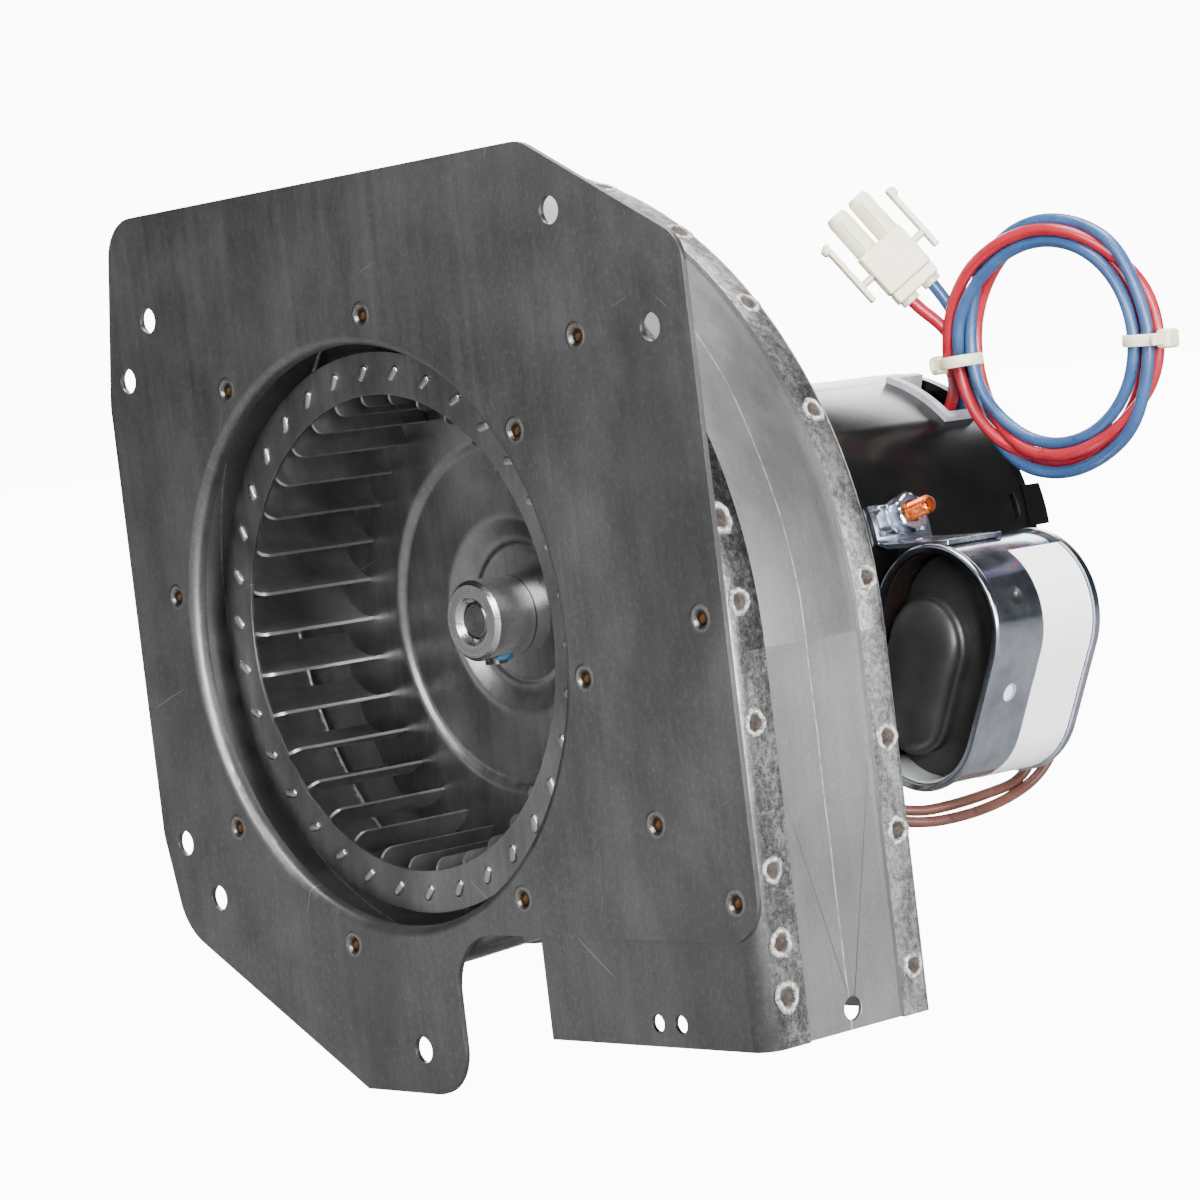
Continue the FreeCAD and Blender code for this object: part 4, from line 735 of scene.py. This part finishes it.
def make_lead(name, route, width, material, slot, replaced, **facts):
    """A free lead as one smooth open spline through its route, in millimetres."""
    curve = bpy.data.curves.new(name, "CURVE")
    curve.dimensions = "3D"
    curve.bevel_depth = width / 2 * MM
    curve.bevel_resolution = 6
    curve.resolution_u = 8
    curve.use_fill_caps = True
    spline = curve.splines.new("NURBS")
    spline.points.add(len(route) - 1)
    for point, place in zip(spline.points, route):
        point.co = (*(Vector(place) * MM), 1.0)
    spline.order_u = 3
    spline.use_endpoint_u = True
    spline.resolution_u = 8
    curve.materials.append(material)
    piece = add_object(name, curve)
    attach(piece, "housing")
    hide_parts(*replaced)


TIE_WIDTH = 2.6
TIE_THICKNESS = 0.85
# each tie's place on the coil in degrees, and how far its cut tail stands out
TIES = {"cable_tie_left": (-3, 2.0), "cable_tie_right": (183, 3.2)}


def make_ties(materials):
    """Nylon cable ties: a band that hugs the strands, a square head and a cut tail."""
    pieces = []
    for name, (degrees, tail) in TIES.items():
        centre = coil_point(degrees)
        ahead = (coil_point(degrees + 1) - coil_point(degrees - 1)).normalized()
        outward = (centre - COIL_CENTRE).normalized()
        matrix = axes_matrix(centre, ahead, outward)
        bm = bmesh.new()
        half, inner, outer = TIE_WIDTH / 2, COIL_BUNDLE, COIL_BUNDLE + TIE_THICKNESS
        band = [(inner, -half), (outer - 0.15, -half), (outer, -half + 0.2), (outer, half - 0.2),
                (outer - 0.15, half), (inner, half), (inner, -half)]
        lathe(bm, matrix, band, 56)
        block(bm, matrix, (inner + 0.3, -2.2, -2.1), (inner + 3.7, 2.2, 2.1), 0.45)
        block(bm, matrix, (inner + 1.2, 1.9, -1.25), (inner + 2.2, 2.2 + tail, 1.25), 0.2)
        block(bm, matrix, (inner + 0.9, -2.75, -1.5), (inner + 2.6, -2.0, 1.5), 0.2)
        piece = add_piece(name + "_nylon", bm, materials["nylon"], "housing")
        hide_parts(name)
        pieces.append(piece)
    return pieces


CONNECTOR_BASE = Vector((34.1, 142.4, 60.6))
CONNECTOR_AXIS = Vector((-0.412, -0.407, 0.815))
CONNECTOR_WIDTH = Vector((0.483, 0.598, 0.639))


def make_connector(materials):
    """The two-circuit nylon plug: stepped block, tapered hollow silos, barbed side latches."""
    matrix = axes_matrix(CONNECTOR_BASE, CONNECTOR_AXIS, CONNECTOR_WIDTH)
    bm = bmesh.new()
    bore, silo, pitch, tip, latch = 1.9, 2.8, 6.35, 25.0, 9.6
    for z0, z1, wide, thick in ((0.0, 3.0, 5.75, 3.6), (2.9, 14.0, 6.0, 3.8)):
        block(bm, matrix, (-wide, -thick, z0), (wide, thick, z1), 0.35)
    for side in (-1, 1):
        centre = matrix @ Matrix.Translation((side * pitch / 2, 0, 0))
        profile = [(silo, 13.5), (silo - 0.1, tip - 1.2), (silo - 0.45, tip - 0.25),
                   (silo - 0.6, tip), (bore + 0.1, tip), (bore, tip - 0.4), (bore, 14.5),
                   (0.02, 14.4)]
        lathe(bm, centre, profile, 40)
        block(bm, centre, (-0.35, silo - 0.5, 13.8), (0.35, silo + 0.25, tip - 2.0), 0.12)
        block(bm, centre, (-0.35, -silo - 0.25, 13.8), (0.35, -silo + 0.5, tip - 2.0), 0.12)
        rear = [(2.3, 0.4), (2.3, -1.2), (2.05, -1.4), (1.75, -1.4), (1.65, 0.3)]
        lathe(bm, centre, rear, 36)
        arm = side * latch
        block(bm, matrix, (arm - 0.6, -2.4, 4.5), (arm + 0.6, 2.4, 21.5), 0.25)
        barb = (arm - 0.55, arm + 1.45) if side > 0 else (arm - 1.45, arm + 0.55)
        block(bm, matrix, (barb[0], -2.3, 19.0), (barb[1], 2.3, 21.3), 0.5)
        reach = sorted((side * 5.8, side * 9.3))
        block(bm, matrix, (reach[0], -1.3, 8.0), (reach[1], 1.3, 9.7), 0.2)
        block(bm, matrix, (reach[0], -2.2, 8.4), (reach[1], -1.2, 9.3), 0.2)
    piece = add_piece("connector_nylon", bm, materials["nylon"], "housing")
    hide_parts("connector_housing")
    return piece


def make_leads(materials):
    ties = make_ties(materials)
    red, blue = wind_coil()
    goes_with = [make_connector(materials), "connector_terminals"] + ties
    make_lead("red_lead", RED_EXIT + red + RED_END, LEAD, materials["red"], "red_pvc",
              ["red_lead_exit", "red_lead_end", "lead_coil"], length=0.37, far_end="connector",
              lay="coiled", with_pieces=goes_with)
    make_lead("blue_lead", BLUE_EXIT + blue + BLUE_END, LEAD, materials["blue"], "blue_pvc",
              ["blue_lead_exit", "blue_lead_end"], length=0.375, far_end="connector", lay="coiled",
              with_pieces=goes_with)
    for name, route, length in (("capacitor_lead_1", CAP_LEAD_1, 0.105),
                                ("capacitor_lead_2", CAP_LEAD_2, 0.113)):
        make_lead(name + "_wire", route, CAP_LEAD, materials["brown"], "brown_pvc", [name],
                  length=length, far_end="object", lay="loose")


# ---------------------------------------------------------------- capacitor and its bracket

STUD_ALONG = polar(1, 14.0)
STUD_FOOT = 41.9
STUD_TIP = 53.4
THREAD_PITCH = 0.8
THREAD_CREST = 2.1
THREAD_DEPTH = 0.34


def make_stud(materials):
    """The copper-flashed weld stud with its rolled thread."""
    depth = Vector((0, middle_of("bracket_stud")[1], 0))
    matrix = axes_matrix(STUD_ALONG * STUD_FOOT + depth, STUD_ALONG, (0, 1, 0))
    bm = bmesh.new()
    segments, per_pitch, point = 40, 8, 0.7
    length = STUD_TIP - STUD_FOOT
    rows = []
    for k in range(int(length / THREAD_PITCH * per_pitch) + 1):
        height = k * THREAD_PITCH / per_pitch
        row = []
        for i in range(segments):
            phase = (height / THREAD_PITCH - i / segments) % 1.0
            groove = THREAD_DEPTH * (1 - abs(2 * phase - 1))
            point_off = max(0.0, (height - (length - point)) * 0.9)
            radius = THREAD_CREST - groove - point_off
            turn = TURN * i / segments
            row.append(matrix @ Vector((radius * math.cos(turn), radius * math.sin(turn), height)))
        rows.append(row)
    made = skin(bm, rows)
    cap(bm, made[-1])
    cap(bm, made[0][::-1])
    piece = add_piece("stud_thread", bm, materials["copper"], "housing", 60)
    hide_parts("bracket_stud")


def hexagon_reach(apothem):
    """The radius of a hexagon's outline at an angle."""
    sixth = math.pi / 3

    def reach(angle):
        return apothem / math.cos((angle + sixth / 2) % sixth - sixth / 2)
    return reach


def make_nut(materials):
    """A zinc hex nut with chamfered corners, a counterbored mouth and a washer face."""
    centre = middle_of("bracket_nut")
    apothem, corner, thick = 3.98, 4.6, 3.4
    foot = Vector((centre[0], 0, centre[2])).length - thick / 2
    depth = Vector((0, centre[1], 0))
    matrix = axes_matrix(STUD_ALONG * foot + depth, STUD_ALONG, (0, 1, 0))
    shape = hexagon_reach(apothem)
    bm = bmesh.new()
    profile = [(2.0, 0.0), (apothem - 0.1, 0.0), (apothem - 0.1, 0.15), (corner - 0.25, 0.15),
               (corner, 0.5), (corner, thick - 0.6), (corner - 0.35, thick - 0.25),
               (apothem - 0.2, thick), (2.55, thick), (2.0, thick - 0.5), (2.0, 0.0)]
    lathe(bm, matrix, profile, 96, shape)
    piece = add_piece("hex_nut", bm, materials["zinc"], "housing", 14)
    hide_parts("bracket_nut")


CAP_CENTRE = Vector((56.4, 0.0, -22.5))
CAP_TILT = 26.6
CAP_LONG = polar(1, 90 - CAP_TILT)
CAP_SHORT = polar(1, -CAP_TILT)
CAP_HALF_FLAT = 9.9
OVAL_SEGMENTS = 72


def oval_row(radius, half_flat, depth, shift=Vector((0, 0, 0))):
    """Points round the capacitor's oval at one depth, in metres from millimetres."""
    centre = CAP_CENTRE + shift + Vector((0, depth, 0))
    row = []
    for i in range(OVAL_SEGMENTS):
        angle = TURN * (i + 0.5) / OVAL_SEGMENTS
        end = half_flat if math.sin(angle) > 0 else -half_flat
        across = CAP_SHORT * (radius * math.cos(angle))
        row.append((centre + across + CAP_LONG * (radius * math.sin(angle) + end)) * MM)
    return row


def make_boot(materials):
    """The rubber boot over the capacitor's terminals: skirt, lip and a soft domed nose."""
    bm = bmesh.new()
    skirt = [oval_row(15.8, CAP_HALF_FLAT, 118.0), oval_row(15.9, CAP_HALF_FLAT, 115.4),
             oval_row(15.7, CAP_HALF_FLAT, 114.7), oval_row(15.2, CAP_HALF_FLAT, 114.4)]
    cap(bm, skin(bm, skirt)[-1])
    lean, flat = Vector((-6.2, 0.0, -1.9)), 8.0
    dome = [oval_row(10.5, flat, 114.6, lean), oval_row(10.6, flat, 112.6, lean),
            oval_row(10.5, flat, 112.0, lean), oval_row(10.1, flat, 111.8, lean)]
    steps = 14
    for k in range(steps):
        rise = math.pi / 2 * k / steps
        dome.append(oval_row(9.9 * math.cos(rise) ** 0.6, flat * (1 - 0.5 * math.sin(rise) ** 2),
                             111.4 - 3.9 * math.sin(rise), lean))
    cap(bm, skin(bm, dome)[-1])
    piece = add_piece("boot_rubber", bm, materials["rubber"], "housing", 60)
    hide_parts("capacitor_boot")


# ---------------------------------------------------------------- clinch joints

PLATE_CLINCHES = [81.1, 125.2, 170.2, -143.6, -105.3, -53.6, -8.6, 35.9]
PLATE_CLINCH_RADIUS = 68.0
OUTER_CLINCHES = [(76.6, 56.8), (102.7, 0.4), (83.2, -39.4), (103.2, -54.5)]
# the scroll's outer face: its first arc's radius and centre, and each quarter's step inwards
SCROLL_RADIUS = 102.1
SCROLL_STEP = 12.3
SCROLL_X = 4.5
SCROLL_Z = -7.0
FRONT_FLANGE = 7.5
BACK_FLANGE = 42.5
FRONT_WALL_CLINCHES = [18.7, 2.6, -20.8, -49.3, -63.5, -73.9]
BACK_WALL_CLINCHES = [-28.7, -47.2, -74.2]
BACK_ARC_CLINCHES = [5.7, 25.5, 40.8, 54.4, 68.0, 82.0, 100.0, 119.0, 138.0, 158.0, 179.0, 203.0,
                     228.0, 252.0]
FRONT_ARC_CLINCHES = [112.0, 136.0, 160.0, 186.0, 214.0, 242.0]


def scroll_place(degrees):
    """Point, outward direction and radius on the flanges' outer face, by the spiral's angle."""
    quarter = min(int(degrees // 90), 3)
    x = SCROLL_X - (SCROLL_STEP if quarter >= 2 else 0)
    z = SCROLL_Z + (SCROLL_STEP if quarter in (1, 2) else 0)
    radius = SCROLL_RADIUS - SCROLL_STEP * quarter
    out = polar(1, degrees)
    return Vector((x, 0, z)) + out * radius, out, radius


def wall_place(z):
    """The same at a height on the right side: its first arc or, lower down, its flat wall."""
    if z > SCROLL_Z:
        return scroll_place(math.degrees(math.asin((z - SCROLL_Z) / SCROLL_RADIUS)))
    return Vector((SCROLL_X + SCROLL_RADIUS, 0, z)), Vector((1, 0, 0)), None


def ring_patch(bm, reach_layer, matrix, radii, heights, wobble, phase, bend=None):
    """A round patch from radii and heights, its outline uneven by wobble.

    bend is the radius of a face that curves about Y.
    """
    segments = 40
    rows = []
    for radius, height in zip(radii, heights):
        row = []
        for i in range(segments):
            angle = TURN * i / segments
            waves = math.sin(3 * angle + phase) + 0.6 * math.sin(7 * angle + 2.3 * phase)
            stray = radius * (1 + wobble * waves)
            u = stray * math.cos(angle)
            v = stray * math.sin(angle)
            fall = u * u / (2 * bend) if bend else 0.0
            row.append(matrix @ Vector((u, v, height - fall)))
        rows.append(row)
    made = skin(bm, rows)
    for row, radius in zip(made, radii):
        for vert in row:
            vert[reach_layer] = radius / radii[0]
    cap(bm, made[-1])


def make_plate_clinches(materials):
    """Dimples on the plate where it is clinched to the scroll's front panel."""
    bm = bmesh.new()
    layer = bm.verts.layers.float.new("reach")
    round_inlet = [polar(PLATE_CLINCH_RADIUS, degrees) for degrees in PLATE_CLINCHES]
    radii = [2.9, 2.55, 2.2, 1.9, 1.55, 1.25, 1.05, 0.75, 0.4, 0.08]
    heights = [0.01, 0.08, 0.10, 0.0, -0.30, -0.52, -0.56, -0.42, -0.30, -0.28]
    for x, z in [(spot.x, spot.z) for spot in round_inlet] + OUTER_CLINCHES:
        matrix = axes_matrix((x, 0, z), (0, -1, 0), (1, 0, 0))
        ring_patch(bm, layer, matrix, radii, heights, wobble=0.012, phase=x)
    add_piece("plate_clinches", bm, materials["dimple"], "housing", 60)


def make_flange_clinches(materials):
    """Raised chalky rings where both flanges are clinched to the wrapper."""
    bm = bmesh.new()
    layer = bm.verts.layers.float.new("reach")
    radii = [3.0, 2.75, 2.45, 2.2, 1.95, 1.7, 1.3, 0.8, 0.1]
    heights = [0.01, 0.12, 0.28, 0.34, 0.24, 0.06, 0.00, 0.02, 0.06]
    rows = ((FRONT_FLANGE, FRONT_WALL_CLINCHES, FRONT_ARC_CLINCHES),
            (BACK_FLANGE, BACK_WALL_CLINCHES, BACK_ARC_CLINCHES))
    for depth, walls, arcs in rows:
        for spot, out, bend in [wall_place(z) for z in walls] + [scroll_place(a) for a in arcs]:
            place = (spot.x, depth, spot.z)
            size = 1 + 0.10 * math.sin(spot.z * 1.7 + depth)
            matrix = axes_matrix(place, out, Vector((0, 1, 0)).cross(out))
            ring_patch(bm, layer, matrix, [radius * size for radius in radii], heights,
                       wobble=0.06, phase=spot.z, bend=bend)
    add_piece("flange_clinches", bm, materials["chalk"], "housing", 60)


# ---------------------------------------------------------------- wheel tabs and sheared edges

BLADE_COUNT = 34
# a blade tab's centreline through the ring: radius, and angle from the first blade
TAB_LINE = [(54.2, 7.03), (56.6, 5.05)]
TAB_FRONT = 7.6


def make_tab_heads(materials):
    """The blades' riveted tab heads, proud of the ring's front face."""
    bm = bmesh.new()
    inner, outer = [polar(radius, degrees) for radius, degrees in TAB_LINE]
    ahead = (outer - inner).normalized()
    across = Vector((0, 1, 0)).cross(ahead)
    middle = (inner + outer) / 2
    half_length, half_width, segments = 1.95, 1.0, 20
    dome = ((0.0, -0.02), (0.02, 0.16), (0.10, 0.32), (0.26, 0.44), (0.48, 0.52), (0.70, 0.55))
    for blade in range(BLADE_COUNT):
        turn = Matrix.Rotation(-TURN * blade / BLADE_COUNT, 4, "Y")
        rows = []
        for inset, rise in dome:
            width = half_width - inset
            row = []
            for i in range(segments):
                angle = TURN * (i + 0.5) / segments
                end = (half_length - half_width) * (1 if math.cos(angle) > 0 else -1)
                point = (middle + ahead * (end + width * math.cos(angle))
                         + across * (width * math.sin(angle)))
                row.append(turn @ (point + Vector((0, TAB_FRONT - rise, 0))) * MM)
            rows.append(row)
        cap(bm, skin(bm, rows)[-1])
    add_piece("tab_heads", bm, materials["tabs"], "rotor", 60)


def make_back_disc(materials):
    """The wheel's pressed back disc: rounded cup, sloped flank and a soft step to the rim."""
    front = [(7.0, 43.4), (13.9, 43.4), (14.4, 43.2), (14.9, 43.05), (15.4, 43.2), (15.9, 43.4),
             (16.7, 43.3), (17.6, 42.85), (18.4, 42.3), (20.4, 41.0), (21.1, 40.65), (21.9, 40.5),
             (22.9, 40.5), (24.0, 40.6), (36.3, 40.6), (36.9, 40.5),
             (37.5, 40.2), (38.1, 39.75), (38.7, 39.48), (39.5, 39.4), (59.3, 39.4), (59.7, 39.5),
             (59.8, 39.7)]
    wall = 0.8
    back = [(radius, depth + wall) for radius, depth in front[:-2]] + [(59.8, 39.4 + wall - 0.15)]
    bm = bmesh.new()
    lathe(bm, axes_matrix((0, 0, 0), (0, 1, 0), (1, 0, 0)), front + back[::-1] + front[:1], 160)
    piece = add_piece("back_disc_pressing", bm, materials["disc"], "rotor", 50)
    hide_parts("wheel_back_disc")


def make_thread_lock(materials):
    """The smear of thread lock round the hub's set screw."""
    screw = middle_of("hub_set_screw")
    hub_low, hub_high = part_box("wheel_hub")
    hub_radius = (hub_high[0] - hub_low[0]) / 2 / MM
    run_down = 0.9
    place = (screw[0], screw[1] + run_down, -hub_radius)
    bm = bmesh.new()
    layer = bm.verts.layers.float.new("reach")
    radii = [3.5, 3.35, 3.0, 2.6, 2.2, 1.8]
    heights = [-0.15, 0.25, 0.50, 0.72, 0.80, 0.76]
    matrix = axes_matrix(place, (0, 0, -1), (1, 0, 0))
    ring_patch(bm, layer, matrix, radii, heights, wobble=0.07, phase=1.3, bend=hub_radius)
    add_piece("thread_lock_smear", bm, materials["thread_lock"], "rotor", 60)


SHEARED_EDGES = {
    "mounting_plate": 0.22, "scroll_front_panel": 0.18, "scroll_back_panel": 0.18,
    "scroll_wrapper": 0.15, "wheel_front_ring": 0.12, "capacitor_bracket": 0.2,
    "motor_shell": 0.2,
}


def break_edges():
    """A hair of bevel on the sheet metal's sheared edges, so that they catch light."""
    for name, width in SHEARED_EDGES.items():
        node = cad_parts[name]
        weld = node.modifiers.new("weld", "WELD")
        weld.merge_threshold = 0.001 * MM
        bevel = node.modifiers.new("sheared_edge", "BEVEL")
        bevel.width = width * MM
        bevel.segments = 2
        bevel.limit_method = "ANGLE"
        bevel.angle_limit = math.radians(50)


# ---------------------------------------------------------------- light and floor

WHITE = 14.0
LIGHT_TARGET = Vector((0.03, 0.06, 0.0))
# each softbox's place, size and power
SOFTBOXES = {
    "overhead": ((0.1, 0.1, 1.1), (0.9, 0.7), 30),
    "backdrop": ((-1.15, 1.3, 0.56), (2.2, 1.15), 72),
    "right_strip": ((1.3, -0.75, 0.2), (0.10, 1.2), 60),
    "right_back": ((1.65, 0.65, 0.15), (0.7, 0.7), 11),
    "right_low": ((1.3, -0.1, -0.02), (0.4, 0.3), 22),
    "left_front": ((-0.75, -1.35, 0.0), (0.4, 0.9), 2.4),
    "front_fill": ((0.45, -1.35, 0.75), (1.0, 0.8), 34),
}


def make_lights():
    for name, (place, size, power) in SOFTBOXES.items():
        data = bpy.data.lights.new(name, "AREA")
        data.shape = "RECTANGLE"
        data.size, data.size_y = size
        data.energy = power
        light = add_object(name, data)
        light.location = place
        towards = LIGHT_TARGET - Vector(place)
        light.rotation_euler = towards.to_track_quat("-Z", "Y").to_euler()
        light.visible_camera = False


def make_world():
    """White behind the object, and a dimmer room for light and reflections."""
    world = bpy.data.worlds.new("studio")
    world.use_nodes = True
    tree = world.node_tree
    tree.nodes.clear()
    output = tree.nodes.new("ShaderNodeOutputWorld")
    seen = tree.nodes.new("ShaderNodeBackground")
    seen.inputs["Strength"].default_value = WHITE
    room = tree.nodes.new("ShaderNodeBackground")
    place = tree.nodes.new("ShaderNodeTexCoord")
    split = tree.nodes.new("ShaderNodeSeparateXYZ")
    fade = tree.nodes.new("ShaderNodeValToRGB")
    lift = tree.nodes.new("ShaderNodeMapRange")
    lift.inputs["From Min"].default_value = -1.0
    tree.links.new(place.outputs["Generated"], split.inputs[0])
    tree.links.new(split.outputs["Z"], lift.inputs["Value"])
    tree.links.new(lift.outputs["Result"], fade.inputs["Fac"])
    levels = ((0.0, 0.30), (0.45, 0.26), (0.54, 0.16), (0.70, 0.09), (0.88, 0.09), (1.0, 0.32))
    set_stops(fade, [(height, (level, level, level * 1.01, 1)) for height, level in levels])
    tree.links.new(fade.outputs["Color"], room.inputs["Color"])
    paths = tree.nodes.new("ShaderNodeLightPath")
    choose = tree.nodes.new("ShaderNodeMixShader")
    tree.links.new(paths.outputs["Is Camera Ray"], choose.inputs[0])
    tree.links.new(room.outputs[0], choose.inputs[1])
    tree.links.new(seen.outputs[0], choose.inputs[2])
    tree.links.new(choose.outputs[0], output.inputs["Surface"])
    bpy.context.scene.world = world


def make_floor():
    """A plain pale floor under the plate's lowest edge, which reads as white to the camera."""
    finish = Finish("floor_paper", Roughness=0.9)
    finish.colour(finish.ramp(finish.noise(40.0), (0.3, grey(120)), (0.7, grey(126))))
    glow = finish.add("ShaderNodeEmission")
    glow.inputs["Strength"].default_value = WHITE
    paths = finish.add("ShaderNodeLightPath")
    choose = finish.add("ShaderNodeMixShader")
    output = next(node for node in finish.tree.nodes if node.type == "OUTPUT_MATERIAL")
    finish.join(finish.maths("MULTIPLY", paths.outputs["Is Camera Ray"], 0.85), choose.inputs[0])
    finish.join(finish.surface.outputs[0], choose.inputs[1])
    finish.join(glow.outputs[0], choose.inputs[2])
    finish.join(choose.outputs[0], output.inputs["Surface"])
    bm = bmesh.new()
    bmesh.ops.create_grid(bm, x_segments=8, y_segments=8, size=30.0)
    mesh = bpy.data.meshes.new("floor")
    bm.to_mesh(mesh)
    bm.free()
    mesh.materials.append(finish.material)
    floor = add_object("floor", mesh)
    floor.location = (0, 0, cad_box[0][2] - 0.0005)


make_camera()
finishes = make_materials()
dress_nodes(finishes)
make_leads(finishes)
make_stud(finishes)
make_nut(finishes)
make_boot(finishes)
make_plate_clinches(finishes)
make_flange_clinches(finishes)
make_tab_heads(finishes)
make_back_disc(finishes)
make_thread_lock(finishes)
break_edges()
make_world()
make_floor()
make_lights()
